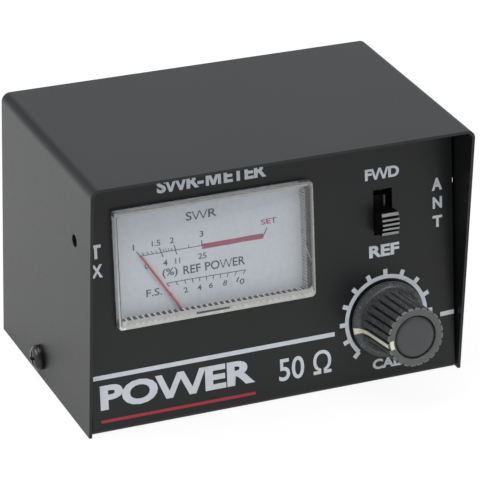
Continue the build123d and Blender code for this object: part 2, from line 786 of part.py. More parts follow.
def pot_shaft():
    """The shaft, with the shoulder behind the bushing that stops it pulling out."""
    shaft = disc(0, 0, SHAFT_R, POT_O0 + 0.7, SHAFT_END)
    shaft += disc(0, 0, SHOULDER_R, SHOULDER_O0, WAFER_O1)
    shaft = chamfer(shaft.edges().sort_by(Axis.Z)[-1], 0.4)
    groove = tube(0, 0, CLIP_GROOVE_R, 4, BUSHING_O + 0.1, BUSHING_O + 0.7)
    return at_knob(shaft - groove)


def pot_wiper():
    """The rotor disc on the shaft's inner end, with a finger on the resistive track."""
    rotor = tube(0, 0, SHAFT_R + 0.02, ROTOR_R, -5.0, -4.2)
    finger = Rot(0, 0, POINTER_MARK) * block(5.3, 6.3, -0.8, 0.8, -4.3, -3.46)
    return at_knob(rotor + finger)


def pot_clip():
    """The split retaining ring in the shaft's groove."""
    ring = tube(0, 0, CLIP_GROOVE_R + 0.05, CLIP_R, BUSHING_O + 0.15, BUSHING_O + 0.65)
    return at_knob(ring - block(-1.6, 1.6, 0, 6, 0, 10))


def pot_washer():
    return at_knob(tube(0, 0, BUSHING_R + 0.1, WASHER_R, 0, WASHER_T))


def pot_nut():
    nut = Pos(0, 0, WASHER_T) * hexagon(NUT_AF, NUT_T)
    return at_knob(nut - disc(0, 0, BUSHING_R + RUN, 0, 4))


def knob_flutes():
    """Grooves along the grip, running out on the flare."""
    grooves = []
    for i in range(FLUTES):
        angle = 360 * (i + 0.5) / FLUTES
        groove = Pos(KNOB_R + 0.12, 0, FLUTE_O) * Cylinder(FLUTE_R, FLUTE_L)
        grooves.append(Rot(0, 0, POINTER_MARK + angle) * groove)
    return grooves


def cal_knob():
    """Thin skirt, concave flare and fluted grip, hollow below for the nut."""
    outline = [
        Line((0, KNOB_O0), (SKIRT_R, KNOB_O0)),
        Line((SKIRT_R, KNOB_O0), (SKIRT_R, KNOB_O0 + 0.8)),
        Line((SKIRT_R, KNOB_O0 + 0.8), (SKIRT_R - 0.3, KNOB_O0 + 1.1)),
        Line((SKIRT_R - 0.3, KNOB_O0 + 1.1), (FLARE_R, KNOB_O0 + 1.4)),
        ThreePointArc((FLARE_R, KNOB_O0 + 1.4), (8.1, KNOB_O0 + 2.5), (GRIP_R, KNOB_O0 + GRIP_O)),
        Line((GRIP_R, KNOB_O0 + GRIP_O), (KNOB_R, KNOB_O1 - KNOB_EDGE)),
        Line((KNOB_R, KNOB_O1 - KNOB_EDGE), (KNOB_R - KNOB_EDGE, KNOB_O1)),
        Line((KNOB_R - KNOB_EDGE, KNOB_O1), (0, KNOB_O1)),
        Line((0, KNOB_O1), (0, KNOB_O0)),
    ]
    body = revolve(Plane.XZ * make_face(outline), Axis.Z)
    for groove in knob_flutes():
        body -= groove
    body -= disc(0, 0, HOLLOW_R, 0, HOLLOW_O)
    body -= disc(0, 0, SHAFT_R + 0.02, 0, CAP_O0 + 0.1)
    body -= disc(0, 0, CAP_R + CAP_GAP, CAP_O0, KNOB_O1 + 1)
    return at_knob(body)


def knob_cap():
    cap = disc(0, 0, CAP_R, CAP_O0, KNOB_O1 + 0.1)
    return at_knob(fillet(cap.edges().sort_by(Axis.Z)[-1], CAP_EDGE))


def front_board():
    x0, x1 = FRONT_BOARD_X
    s0, s1 = FRONT_BOARD_S
    board = block(x0, x1, s0, s1, FRONT_BOARD_O0, FRONT_BOARD_O1)
    for x, s in switch_terminal_places():
        board -= disc(x, s, LEG_R + RUN, -20, 0)
    for dx in (-POT_LEG_X, 0, POT_LEG_X):
        board -= disc(KNOB_X + dx, KNOB_S - POT_LEG_S, LEG_R + RUN, -20, 0)
    return on_panel(board)


# ---------------------------------------------------------------- rear sockets


def socket_body(x, z):
    """Square flange, threaded barrel with a notched mouth, and the boss behind the flange."""
    half = SOCKET_FLANGE / 2
    flange = block(x - half, x + half, REAR_Y, FLANGE_Y, z - half, z + half)
    flange = fillet(flange.edges().filter_by(Axis.Y), 1.5)
    for dx in (-SOCKET_HOLE, SOCKET_HOLE):
        for dz in (-SOCKET_HOLE, SOCKET_HOLE):
            flange -= rod_y(x + dx, z + dz, M3_HOLE, REAR_Y - 1, FLANGE_Y + 1)
    mouth = FLANGE_Y + BARREL_L
    body = flange + rod_y(x, z, BARREL_R, FLANGE_Y, mouth)
    body += rod_y(x, z, BOSS_R, BOSS_Y, REAR_Y)
    body -= rod_y(x, z, BOSS_BORE, BOSS_Y - 1, mouth + 1)
    body -= rod_y(x, z, BARREL_BORE, SEAT_Y, mouth + 1)
    for turn in (45, 135):
        notch = Box(4 * BARREL_R, NOTCH_W, 2 * NOTCH_D)
        body -= Pos(x, mouth, z) * Rot(0, turn, 0) * Rot(90, 0, 0) * notch
    return body


def socket_insulator(x, z):
    body = rod_y(x, z, BARREL_BORE - 0.02, SEAT_Y, INSULATOR_Y1)
    body += rod_y(x, z, BOSS_BORE - 0.02, INSULATOR_Y0, SEAT_Y)
    body -= rod_y(x, z, CONTACT_R + 0.02, CONTACT_SEAT_Y, INSULATOR_Y1 + 1)
    return body - rod_y(x, z, CONTACT_TAIL + 0.02, INSULATOR_Y0 - 1, CONTACT_SEAT_Y + 1)


def socket_contact(x, z):
    """The split centre contact, with its solder tail through the coupler board."""
    tip = CONTACT_TIP_Y
    body = rod_y(x, z, CONTACT_R, CONTACT_SEAT_Y, tip)
    body += rod_y(x, z, CONTACT_TAIL, CONTACT_TAIL_Y, CONTACT_SEAT_Y)
    body -= rod_y(x, z, CONTACT_BORE, tip - CONTACT_DEPTH, tip + 1)
    for turn in (0, 90):
        slit = Box(3 * CONTACT_R, SLIT, 2 * SLIT_L)
        body -= Pos(x, tip, z) * Rot(0, turn, 0) * Rot(90, 0, 0) * slit
    return body


def socket_screws():
    screws = []
    for x, z, _ in socket_screw_places():
        screw = pan_screw(M3_HEAD_R, M3_HEAD_H, M3_R, M3_LENGTH, M3_RECESS)
        screws.append(Pos(x, FLANGE_Y, z) * Rot(-90, 0, 0) * screw)
    return Compound(children=screws)


def socket_nuts():
    nuts = []
    for x, z, has_lug in socket_screw_places():
        seat = INNER_Y - (LUG_T if has_lug else 0)
        nut = hexagon(NUT3_AF, NUT3_H) - disc(0, 0, M3_R + RUN, -1, NUT3_H + 1)
        nuts.append(Pos(x, seat, z) * Rot(90, 0, 0) * nut)
    return Compound(children=nuts)


def ground_lugs():
    """Solder lugs under one nut of each socket, with a strap to the coupler board."""
    lugs = []
    for x, z, has_lug in socket_screw_places():
        if not has_lug:
            continue
        x0, x1 = x - LUG_HALF_W, x + LUG_HALF_W
        low = z - LUG_DROP
        lug = rod_y(x, z, LUG_R, INNER_Y - LUG_T, INNER_Y)
        lug += block(x0, x1, INNER_Y - LUG_T, INNER_Y, low, z)
        lug += block(x0, x1, COUPLER_Y1, INNER_Y, low, low + LUG_T)
        lugs.append(lug - rod_y(x, z, M3_HOLE, INNER_Y - 2, INNER_Y + 1))
    return Compound(children=lugs)


# ---------------------------------------------------------------- coupler board and wiring


def coupler_board():
    z0, z1 = COUPLER_Z
    board = block(-COUPLER_HALF_X, COUPLER_HALF_X, COUPLER_Y0, COUPLER_Y1, z0, z1)
    for x, z in socket_places():
        board -= rod_y(x, z, CONTACT_TAIL + 0.1, COUPLER_Y0 - 1, COUPLER_Y1 + 1)
    return board


def axial_part(x, z, size):
    """A diode or resistor lying along X, its two leads bent down to the board."""
    r, length, lead_reach = size
    y = COUPLER_Y0 - 1.6
    body = rod_x(y, z, r, x - length / 2, x + length / 2)
    body = fillet(body.edges(), r * 0.35)
    body += rod_x(y, z, LEAD_R, x - lead_reach - LEAD_R, x + lead_reach + LEAD_R)
    for side in (-1, 1):
        body += rod_y(x + side * lead_reach, z, LEAD_R, y, COUPLER_Y0)
    return body


def disc_capacitor(x, z):
    body = Pos(x, COUPLER_Y0 - 3.4, z) * Cylinder(CAPACITOR_R, CAPACITOR_T)
    body = fillet(body.edges(), 0.6)
    for side in (-1, 1):
        body += rod_y(x + side * CAPACITOR_LEAD_X, z, LEAD_R, COUPLER_Y0 - 3, COUPLER_Y0)
    return body


def panel_point(x, s, o):
    return PANEL.from_local_coords(Vector(x, s, o))


def wire(points, radii):
    """An insulated wire: straight runs joined by tangent arcs."""
    path = FilletPolyline(*points, radius=radii)
    start = Plane(origin=path @ 0, z_dir=path % 0)
    return sweep(start * Circle(WIRE_R), path=path)


def board_wire(s, end_x, end_z):
    """From the rear of the front board to the front of the coupler board."""
    points = [
        panel_point(WIRE_X, s, FRONT_BOARD_O0), panel_point(WIRE_X, s, FRONT_BOARD_O0 - KNEE),
        Vector(end_x, COUPLER_Y0 - KNEE, end_z), Vector(end_x, COUPLER_Y0, end_z),
    ]
    return wire(points, [BOARD_BEND, BOARD_BEND])


def meter_wire(s, depth, terminal):
    """From the front board back, across behind the meter, and in to its terminal."""
    x, end_s = terminal
    points = [
        panel_point(WIRE_X, s, FRONT_BOARD_O0), panel_point(WIRE_X, s, depth),
        panel_point(x, end_s, depth), panel_point(x, end_s, TERMINAL_END),
    ]
    return wire(points, [METER_BEND, METER_BEND])


def main():
    os.makedirs("parts", exist_ok=True)
    nodes = {
        "cover": cover(),
        "chassis": chassis(),
        "cover_screws": cover_screws(),
        "meter_lens": meter_lens(),
        "meter_tape": meter_tape(),
        "meter_housing": meter_housing(),
        "meter_dial": meter_dial(),
        "dial_screws": dial_screws(),
        "meter_frame": meter_frame(),
        "meter_front_bridge": meter_front_bridge(),
        "bridge_screws": bridge_screws(),
        "movement_screws": movement_screws(),
        "meter_yoke": meter_yoke(),
        "meter_magnet": meter_magnet(),
        "meter_coil": meter_coil(),
        "meter_pivots": meter_pivots(),
        "meter_pointer": meter_pointer(),
        "hairspring_front": hairspring(FRONT_SPRING_O),
        "hairspring_rear": hairspring(REAR_SPRING_O),
        "jewel_screws": jewel_screws(),
        "meter_terminals": meter_terminals(),
        "switch_frame": switch_frame(),
        "switch_base": switch_base(),
        "switch_terminals": switch_terminals(),
        "switch_actuator": switch_actuator(),
        "switch_contacts": switch_contacts(),
        "pot_bushing": pot_bushing(),
        "pot_case": pot_case(),
        "pot_wafer": pot_wafer(),
        "pot_terminals": pot_terminals(),
        "pot_shaft": pot_shaft(),
        "pot_wiper": pot_wiper(),
        "pot_clip": pot_clip(),
        "pot_washer": pot_washer(),
        "pot_nut": pot_nut(),
        "cal_knob": cal_knob(),
        "knob_cap": knob_cap(),
        "front_board": front_board(),
        "socket_screws": socket_screws(),
        "socket_nuts": socket_nuts(),
        "ground_lugs": ground_lugs(),
        "coupler_board": coupler_board(),
        "diode_forward": axial_part(8, 44, DIODE),
        "diode_reflected": axial_part(-8, 44, DIODE),
        "resistor_forward": axial_part(9, 22, RESISTOR),
        "resistor_reflected": axial_part(-9, 22, RESISTOR),
        "capacitor_forward": disc_capacitor(8, 38),
        "capacitor_reflected": disc_capacitor(-8, 38),
        "wire_forward": board_wire(36, 17, 41),
        "wire_reflected": board_wire(31, 17, 36),
        "wire_ground": board_wire(26, 18, 27),
        "wire_meter_plus": meter_wire(54, -33, terminal_places()[0]),
        "wire_meter_minus": meter_wire(50, -37, terminal_places()[1]),
    }
    for (x, z), name in zip(socket_places(), ("tx", "ant")):
        nodes[name + "_socket_body"] = socket_body(x, z)
        nodes[name + "_socket_insulator"] = socket_insulator(x, z)
        nodes[name + "_socket_contact"] = socket_contact(x, z)
    for node, shape in nodes.items():
        save(node, shape)
    for node in ("wire_forward", "wire_reflected", "wire_ground", "wire_meter_plus", "wire_meter_minus"):
        length = nodes[node].volume / (math.pi * WIRE_R ** 2)
        print(node, "length", round(length, 1))


main()
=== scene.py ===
import json
import math

import bmesh
import bpy
from mathutils import Matrix, Vector


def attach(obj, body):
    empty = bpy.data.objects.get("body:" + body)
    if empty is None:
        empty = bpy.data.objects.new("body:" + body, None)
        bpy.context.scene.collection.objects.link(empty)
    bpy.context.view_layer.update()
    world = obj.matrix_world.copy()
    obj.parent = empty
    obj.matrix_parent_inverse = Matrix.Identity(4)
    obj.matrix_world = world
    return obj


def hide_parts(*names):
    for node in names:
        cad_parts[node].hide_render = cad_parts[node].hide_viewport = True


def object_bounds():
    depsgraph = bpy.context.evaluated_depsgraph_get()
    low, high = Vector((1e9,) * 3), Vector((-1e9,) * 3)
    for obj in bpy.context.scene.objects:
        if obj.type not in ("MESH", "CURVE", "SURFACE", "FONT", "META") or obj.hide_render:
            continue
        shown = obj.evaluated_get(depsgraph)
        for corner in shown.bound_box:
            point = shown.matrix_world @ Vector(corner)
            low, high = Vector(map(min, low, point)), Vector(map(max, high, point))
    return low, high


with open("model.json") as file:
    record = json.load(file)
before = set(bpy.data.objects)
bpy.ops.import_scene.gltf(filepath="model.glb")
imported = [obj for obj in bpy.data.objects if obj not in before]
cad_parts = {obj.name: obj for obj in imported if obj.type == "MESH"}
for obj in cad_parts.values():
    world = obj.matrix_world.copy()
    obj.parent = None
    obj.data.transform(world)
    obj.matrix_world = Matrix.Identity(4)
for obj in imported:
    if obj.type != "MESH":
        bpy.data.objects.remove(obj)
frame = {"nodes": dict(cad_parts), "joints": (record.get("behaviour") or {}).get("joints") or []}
cad_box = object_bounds()

# An SWR meter in a folded steel case. Local lengths are in millimetres; the scene is in metres.
MM = 0.001
scene = bpy.context.scene
joints = {j["name"]: j for j in frame["joints"]}



def add_object(name, data):
    obj = bpy.data.objects.new(name, data)
    scene.collection.objects.link(obj)
    return obj


# ---- camera

AIM = Vector((0.0, 0.0, 34.74)) * MM
AZIMUTH = math.radians(-24.4)
ELEVATION = math.radians(26.12)
ROLL = math.radians(1.64)
AIM_RIGHT = -1.813 * MM
AIM_UP = 2.187 * MM
DISTANCE = 822.13 * MM
LENS = 233.6


def make_camera():
    back = Vector((
        math.sin(AZIMUTH) * math.cos(ELEVATION),
        -math.cos(AZIMUTH) * math.cos(ELEVATION),
        math.sin(ELEVATION),
    ))
    level = Vector((math.cos(AZIMUTH), math.sin(AZIMUTH), 0.0))
    up = back.cross(level)
    right = level * math.cos(ROLL) + up * math.sin(ROLL)
    top = up * math.cos(ROLL) - level * math.sin(ROLL)
    data = bpy.data.cameras.new("camera")
    data.lens = LENS
    data.sensor_width = 36.0
    data.clip_start = 0.05
    data.clip_end = 20.0
    camera = add_object("camera", data)
    turn = Matrix((right, top, back)).transposed()
    eye = AIM - right * AIM_RIGHT - top * AIM_UP + back * DISTANCE
    camera.matrix_world = Matrix.Translation(eye) @ turn.to_4x4()
    scene.camera = camera


make_camera()

# ---- light and floor

scene.view_settings.view_transform = "Standard"

WORLD_LIGHT = 0.46
WORLD_SEEN = 1.0
WORLD_COLOUR = (0.96, 0.97, 1.0, 1.0)
LIGHTS = (
    # name, place, size, power, colour
    ("overhead", (-0.15, 0.1, 1.3), (1.0, 1.0), 13.5, (1.0, 1.0, 1.0)),
    ("front_right", (0.55, -0.70, 1.15), (0.5, 0.5), 4.2, (1.0, 0.99, 0.97)),
    ("left", (-1.0, 0.35, 0.45), (0.7, 0.5), 7.0, (0.98, 0.98, 1.0)),
    ("back_right", (0.55, 1.15, 0.62), (1.1, 0.5), 0.9, (1.0, 1.0, 1.0)),
)


def feed(node, **values):
    """Sets a node's inputs by name, or joins them to another node's outputs."""
    for key, value in values.items():
        socket = node.inputs[key.replace("_", " ")]
        if isinstance(value, bpy.types.NodeSocket):
            node.id_data.links.new(value, socket)
        else:
            socket.default_value = value


def add_node(tree, kind, **inputs):
    node = tree.nodes.new(kind)
    feed(node, **inputs)
    return node


def by_ray(tree, lit, seen):
    """One value for rays that light the scene, and another for rays from the camera."""
    path = tree.nodes.new("ShaderNodeLightPath")
    value = path.outputs["Is Camera Ray"]
    share = add_node(tree, "ShaderNodeMapRange", Value=value, To_Min=lit, To_Max=seen)
    return share.outputs["Result"]


def make_lights():
    world = bpy.data.worlds.new("world")
    world.use_nodes = True
    sky = world.node_tree.nodes["Background"]
    feed(sky, Color=WORLD_COLOUR, Strength=by_ray(world.node_tree, WORLD_LIGHT, WORLD_SEEN))
    scene.world = world
    for name, place, size, power, colour in LIGHTS:
        data = bpy.data.lights.new(name, "AREA")
        data.shape = "RECTANGLE"
        data.size, data.size_y = size
        data.energy = power
        data.color = colour
        lamp = add_object(name, data)
        lamp.location = place
        lamp.rotation_euler = (AIM - Vector(place)).to_track_quat("-Z", "Y").to_euler()


make_lights()

# ---- materials


def new_material(name):
    mat = bpy.data.materials.new(name)
    mat.use_nodes = True
    return mat, mat.node_tree, mat.node_tree.nodes["Principled BSDF"]


def millimetre_coords(tree, stretch=(1.0, 1.0, 1.0)):
    """Object coordinates in millimetres, stretched along each axis."""
    coords = tree.nodes.new("ShaderNodeTexCoord")
    scale = [s / MM for s in stretch]
    place = add_node(tree, "ShaderNodeMapping", Vector=coords.outputs["Object"], Scale=scale)
    return place.outputs["Vector"]


def noise(tree, coords, per_mm, detail=2.0):
    node = add_node(tree, "ShaderNodeTexNoise", Vector=coords, Scale=per_mm, Detail=detail)
    return node.outputs["Fac"]


def ranged(tree, value, low, high, lo_in=0.3, hi_in=0.7):
    node = add_node(tree, "ShaderNodeMapRange", Value=value, From_Min=lo_in, From_Max=hi_in,
                    To_Min=low, To_Max=high)
    return node.outputs["Result"]


def colours(tree, value, stops, stepped=False):
    node = add_node(tree, "ShaderNodeValToRGB", Fac=value)
    ramp = node.color_ramp
    ramp.interpolation = "CONSTANT" if stepped else "LINEAR"
    while len(ramp.elements) < len(stops):
        ramp.elements.new(0.5)
    for element, (at, colour) in zip(ramp.elements, stops):
        element.position = at
        element.color = (*colour, 1.0)
    return node.outputs["Color"]


def bump(tree, height, depth_mm):
    node = add_node(tree, "ShaderNodeBump", Strength=1.0, Distance=depth_mm * MM, Height=height)
    return node.outputs["Normal"]


def waves(tree, coords, scale, distortion, direction):
    node = add_node(tree, "ShaderNodeTexWave", Vector=coords, Scale=scale,
                    Distortion=distortion, Detail=1.0)
    node.bands_direction = direction
    return node.outputs["Fac"]


def combined(tree, operation, first, second):
    node = tree.nodes.new("ShaderNodeMath")
    node.operation = operation
    tree.links.new(first, node.inputs[0])
    tree.links.new(second, node.inputs[1])
    return node.outputs[0]


def blend_shaders(tree, share, first, second):
    """The material's surface: the first shader, giving way to the second by a share."""
    mix = add_node(tree, "ShaderNodeMixShader", Fac=share)
    tree.links.new(first, mix.inputs[1])
    tree.links.new(second, mix.inputs[2])
    feed(tree.nodes["Material Output"], Surface=mix.outputs["Shader"])


SPECK = (0.20, 0.21, 0.205)
SPECK_PER_MM = 2.6
SPECK_EDGE = 0.05
ACRYLIC_IOR = 1.49


def shade(colour, factor):
    return tuple(min(1.0, c * factor) for c in colour)


def finish(name, colour, rough, metal=0.0, vary=0.12, patch=0.15, grain=3.0, depth=0.01,
           rough_vary=0.06, stretch=(1.0, 1.0, 1.0), tint=None, gloss=0.5, specks=None):
    """A surface with slow patches of colour, a fine grain, uneven gloss and perhaps pale specks."""
    mat, tree, bsdf = new_material(name)
    coords = millimetre_coords(tree, stretch)
    slow = noise(tree, coords, patch, 3.0)
    fine = noise(tree, coords, grain, 3.0)
    second = tint or shade(colour, 1.0 + vary)
    stops = [(0.3, shade(colour, 1.0 - vary)), (0.5, colour), (0.7, second)]
    base = colours(tree, slow, stops)
    if specks:
        mix = tree.nodes.new("ShaderNodeMix")
        mix.data_type = "RGBA"
        dust = noise(tree, coords, SPECK_PER_MM, 1.0)
        share = ranged(tree, dust, 0.0, 1.0, specks, specks + SPECK_EDGE)
        feed(mix, Factor=share, A=base, B=(*SPECK, 1.0))
        base = mix.outputs["Result"]
    gloss_map = ranged(tree, fine, rough - rough_vary, rough + rough_vary)
    feed(bsdf, Base_Color=base, Roughness=gloss_map, Normal=bump(tree, fine, depth),
         Metallic=metal, Specular_IOR_Level=gloss)
    return mat


def clear_plastic(name, tint, rough, speckle, through=1.0, lamp=0.98):
    """Clear moulded plastic. Lamps and bounced light pass through it, dimmed to the lamp share."""
    mat, tree, bsdf = new_material(name)
    fine = noise(tree, millimetre_coords(tree), speckle, 2.0)
    base = colours(tree, fine, [(0.35, shade(tint, 0.95)), (0.65, tint)])
    feed(bsdf, Base_Color=base, Roughness=ranged(tree, fine, rough * 0.6, rough * 1.4),
         IOR=ACRYLIC_IOR, Transmission_Weight=through)
    rays = tree.nodes.new("ShaderNodeLightPath").outputs
    either = combined(tree, "MAXIMUM", rays["Is Shadow Ray"], rays["Is Diffuse Ray"])
    passing = add_node(tree, "ShaderNodeBsdfTransparent", Color=(lamp, lamp, lamp, 1.0))
    blend_shaders(tree, either, bsdf.outputs["BSDF"], passing.outputs["BSDF"])
    return mat


def banded(name, stops, rough):
    """A small component with painted bands along its own length."""
    mat, tree, bsdf = new_material(name)
    coords = tree.nodes.new("ShaderNodeTexCoord")
    split = add_node(tree, "ShaderNodeSeparateXYZ", Vector=coords.outputs["Generated"])
    fine = noise(tree, millimetre_coords(tree), 4.0, 2.0)
    feed(bsdf, Base_Color=colours(tree, split.outputs["X"], stops, True),
         Roughness=ranged(tree, fine, rough - 0.05, rough + 0.05), Normal=bump(tree, fine, 0.01))
    return mat


def woven(name, colour, thread, rough):
    """Copper-free laminate with its glass weave just showing."""
    mat, tree, bsdf = new_material(name)
    coords = millimetre_coords(tree)
    across, along = (waves(tree, coords, thread, 0.6, direction) for direction in ("X", "Z"))
    weave = combined(tree, "MULTIPLY", across, along)
    stops = [(0.0, shade(colour, 0.8)), (0.6, colour), (1.0, shade(colour, 1.2))]
    feed(bsdf, Base_Color=colours(tree, weave, stops), Normal=bump(tree, weave, 0.02),
         Roughness=rough)
    return mat


def wound(name, colour, pitch, axis):
    """Fine enamelled wire laid in rows."""
    mat, tree, bsdf = new_material(name)
    rows = waves(tree, millimetre_coords(tree), pitch, 0.3, axis)
    stops = [(0.0, shade(colour, 0.45)), (0.5, colour), (1.0, shade(colour, 1.15))]
    feed(bsdf, Base_Color=colours(tree, rows, stops), Normal=bump(tree, rows, 0.05),
         Metallic=0.85, Roughness=0.33)
    return mat


def foamed(name, colour):
    """Closed-cell foam with open cells on its cut edges."""
    mat, tree, bsdf = new_material(name)
    cells = add_node(tree, "ShaderNodeTexVoronoi", Vector=millimetre_coords(tree), Scale=3.0)
    cell = cells.outputs["Distance"]
    base = colours(tree, cell, [(0.0, shade(colour, 0.6)), (0.5, colour)])
    feed(bsdf, Base_Color=base, Normal=bump(tree, cell, 0.08), Roughness=0.85)
    return mat


WALL_LAMP = 0.78


def recipe(kind, *values):
    return lambda name: kind(name, *values)


def paint(colour, rough, **more):
    return lambda name: finish(name, colour, rough, **more)


def lens(*values):
    return recipe(clear_plastic, *values, WALL_LAMP)


CLEAR = (0.97, 0.98, 0.98)
INK = (0.60, 0.63, 0.67)
DARK_INK = (0.035, 0.038, 0.045)
RED_INK = (0.42, 0.022, 0.032)
BRASS = (0.62, 0.43, 0.16)
STEEL = (0.55, 0.55, 0.53)
TIN = (0.66, 0.66, 0.64)
CERAMIC = (0.44, 0.26, 0.10)

DIODE_GLASS = (0.45, 0.12, 0.03)
DIODE_BANDS = (
    (0.0, TIN), (0.30, DIODE_GLASS), (0.58, (0.01, 0.01, 0.01)), (0.65, DIODE_GLASS), (0.70, TIN))
RESISTOR_BANDS = (
    (0.0, TIN), (0.30, CERAMIC), (0.36, (0.02, 0.25, 0.04)), (0.41, CERAMIC),
    (0.46, (0.02, 0.06, 0.35)), (0.51, CERAMIC), (0.58, (0.08, 0.03, 0.01)), (0.62, CERAMIC),
    (0.70, TIN))

RECIPES = {
    "case_paint": paint((0.0095, 0.0102, 0.0108), 0.38, vary=0.10, patch=0.04, grain=2.2,
        depth=0.003, rough_vary=0.03, gloss=0.33),
    "screw_black": paint((0.012, 0.012, 0.012), 0.28, metal=0.35, vary=0.3, grain=4.0,
        rough_vary=0.08),
    "lens_clear": recipe(clear_plastic, CLEAR, 0.03, 0.8),
    "lens_soft": lens((0.95, 0.96, 0.95), 0.14, 0.4, 0.85),
    # painted shade: a dark grey copy of the clear plastic for the lens's right side
    "lens_side": lens((0.27, 0.27, 0.27), 0.3, 0.3, 0.0),
    # painted light: a light grey copy of the clear plastic for the bevel and the light dashes,
    # standing in for their highlights
    "lens_rim": lens((0.56, 0.57, 0.55), 0.25, 0.3, 0.08),
    # painted light: a near-white copy of the clear plastic for the flanks at the foot and right and
    # the bevel's left and top, standing in for light carried through the plastic
    "lens_flank": lens((0.92, 0.93, 0.91), 0.25, 0.5, 0.0),
    # painted shade: a near-black copy of the clear plastic for the lens's walls and the inner edge
    # of its lip
    "lens_wall": lens((0.18, 0.18, 0.18), 0.3, 0.3, 0.0),
    # painted light and shade: a mid-grey copy of the clear plastic for the lip, standing in for
    # what shows through it
    "lens_shelf": lens((0.42, 0.42, 0.41), 0.3, 0.3, 0.0),
    # painted highlight: the ribs' light facets
    "lens_rib_light": lens((0.92, 0.92, 0.90), 0.2, 0.7, 0.0),
    # painted shade: the ribs' dark facets; the same dark surface serves the span painted dark in
    # the foot
    "lens_rib_dark": lens((0.07, 0.07, 0.07), 0.2, 0.7, 0.1),
    "dial_face": paint((0.575, 0.61, 0.66), 0.55, vary=0.02, patch=0.06, grain=6.0, depth=0.003),
    "pointer_red": paint(RED_INK, 0.4, vary=0.15, grain=6.0, depth=0.004),
    "knob_plastic": paint((0.050, 0.054, 0.055), 0.32, vary=0.25, patch=0.9, grain=2.0, depth=0.02,
        rough_vary=0.12, specks=0.66),
    # painted shade: a near-black copy of the knob plastic for the deep flute faces
    "knob_groove": paint((0.012, 0.013, 0.013), 0.5, vary=0.25, patch=0.9, grain=2.0, depth=0.02),
    "knob_face": paint((0.088, 0.094, 0.088), 0.45, vary=0.10, patch=0.6, grain=4.0, depth=0.006),
    # painted highlight: a light grey copy of the knob plastic for the rim's outer edge
    "knob_edge": paint((0.13, 0.135, 0.13), 0.35, vary=0.15, patch=0.8, grain=4.0, depth=0.006),
    "switch_plastic": paint((0.004, 0.004, 0.005), 0.48, vary=0.15, patch=0.5, grain=6.0,
        depth=0.006, gloss=0.1),
    # painted highlight: light grey for the crowned tops of the button's ridges
    "ridge_top": paint((0.27, 0.27, 0.272), 0.32, vary=0.2, patch=0.8, grain=5.0),
    "housing_plastic": paint((0.018, 0.018, 0.02), 0.5, vary=0.15, grain=2.5, depth=0.015),
    "foam_tape": recipe(foamed, (0.55, 0.55, 0.52)),
    "plated_steel": paint(STEEL, 0.30, metal=1.0, tint=(0.56, 0.55, 0.46),
        depth=0.006, rough_vary=0.10),
    "soft_iron": paint((0.30, 0.30, 0.31), 0.45, metal=1.0, vary=0.15, grain=2.0, depth=0.02,
        stretch=(1.0, 1.0, 0.2)),
    "magnet_alloy": paint((0.34, 0.33, 0.32), 0.55, metal=0.9, vary=0.2, grain=4.0, depth=0.03),
    "brass_part": paint(BRASS, 0.28, metal=1.0, vary=0.15, tint=(0.55, 0.34, 0.13),
        depth=0.006, rough_vary=0.08),
    "copper_winding": recipe(wound, (0.62, 0.26, 0.12), 4.0, "Z"),
    "nickel_plate": paint((0.56, 0.55, 0.525), 0.30, metal=1.0, vary=0.04, patch=0.2,
        depth=0.001, rough_vary=0.04),
    "nickel_root": paint((0.17, 0.165, 0.155), 0.42, metal=1.0, vary=0.15, patch=0.4,
        depth=0.002, rough_vary=0.05),
    "phenolic": paint((0.05, 0.027, 0.015), 0.5, vary=0.25, grain=2.0, depth=0.02,
        stretch=(1.0, 0.3, 1.0)),
    "white_insulator": paint((0.74, 0.73, 0.69), 0.42, vary=0.05, grain=2.0),
    "board_laminate": recipe(woven, (0.30, 0.22, 0.09), 2.4, 0.42),
    "tinned": paint(TIN, 0.32, metal=1.0, vary=0.15, grain=1.5, depth=0.02, rough_vary=0.12),
    "diode_glass": recipe(banded, DIODE_BANDS, 0.15),
    "component_ceramic": recipe(banded, RESISTOR_BANDS, 0.4),
    "disc_ceramic": paint((0.50, 0.27, 0.08), 0.35, vary=0.15, grain=1.0, depth=0.05),
    "insulation_red": paint((0.42, 0.02, 0.02), 0.38, grain=2.0),
    "insulation_white": paint((0.62, 0.62, 0.58), 0.38, vary=0.08, grain=2.0),
    "insulation_black": paint((0.015, 0.015, 0.016), 0.36, vary=0.2, grain=2.0),
    "panel_ink": paint(INK, 0.50, vary=0.05, patch=0.6, grain=4.0, depth=0.004),
    "red_ink": paint((0.36, 0.015, 0.03), 0.45, vary=0.08, patch=0.6, grain=4.0, depth=0.004),
    "dial_ink": paint(DARK_INK, 0.5, vary=0.2, patch=1.0, grain=5.0, depth=0.003),
    "dial_red": paint((0.29, 0.043, 0.078), 0.5, vary=0.10, patch=0.8, grain=5.0, depth=0.003),
    "cream_paint": paint((0.74, 0.72, 0.57), 0.42, vary=0.08, patch=1.0, grain=4.0),
    # painted shade: a darker ring for the disc's rolled edge
    "knob_roll": paint((0.027, 0.029, 0.031), 0.42, vary=0.06, grain=4.0, depth=0.003),
    "knob_disc": paint((0.050, 0.054, 0.058), 0.42, vary=0.06, grain=4.0, depth=0.003),
}

MATERIALS = {name: make(name) for name, make in RECIPES.items()}
NODE_MATERIALS = {
    "capacitor_forward": "disc_ceramic",
    "capacitor_reflected": "disc_ceramic",
}


def dress_cad_nodes():
    """Each CAD node's own slot takes the material made for it."""
    slots = {n: o.material_slots[0].material.name.split(".")[0] for n, o in frame["nodes"].items()}
    for name, obj in frame["nodes"].items():
        obj.material_slots[0].material = MATERIALS[NODE_MATERIALS.get(name, slots[name])]


dress_cad_nodes()


FLOOR_GLOW = 0.45
FLOOR_SEEN = 0.90


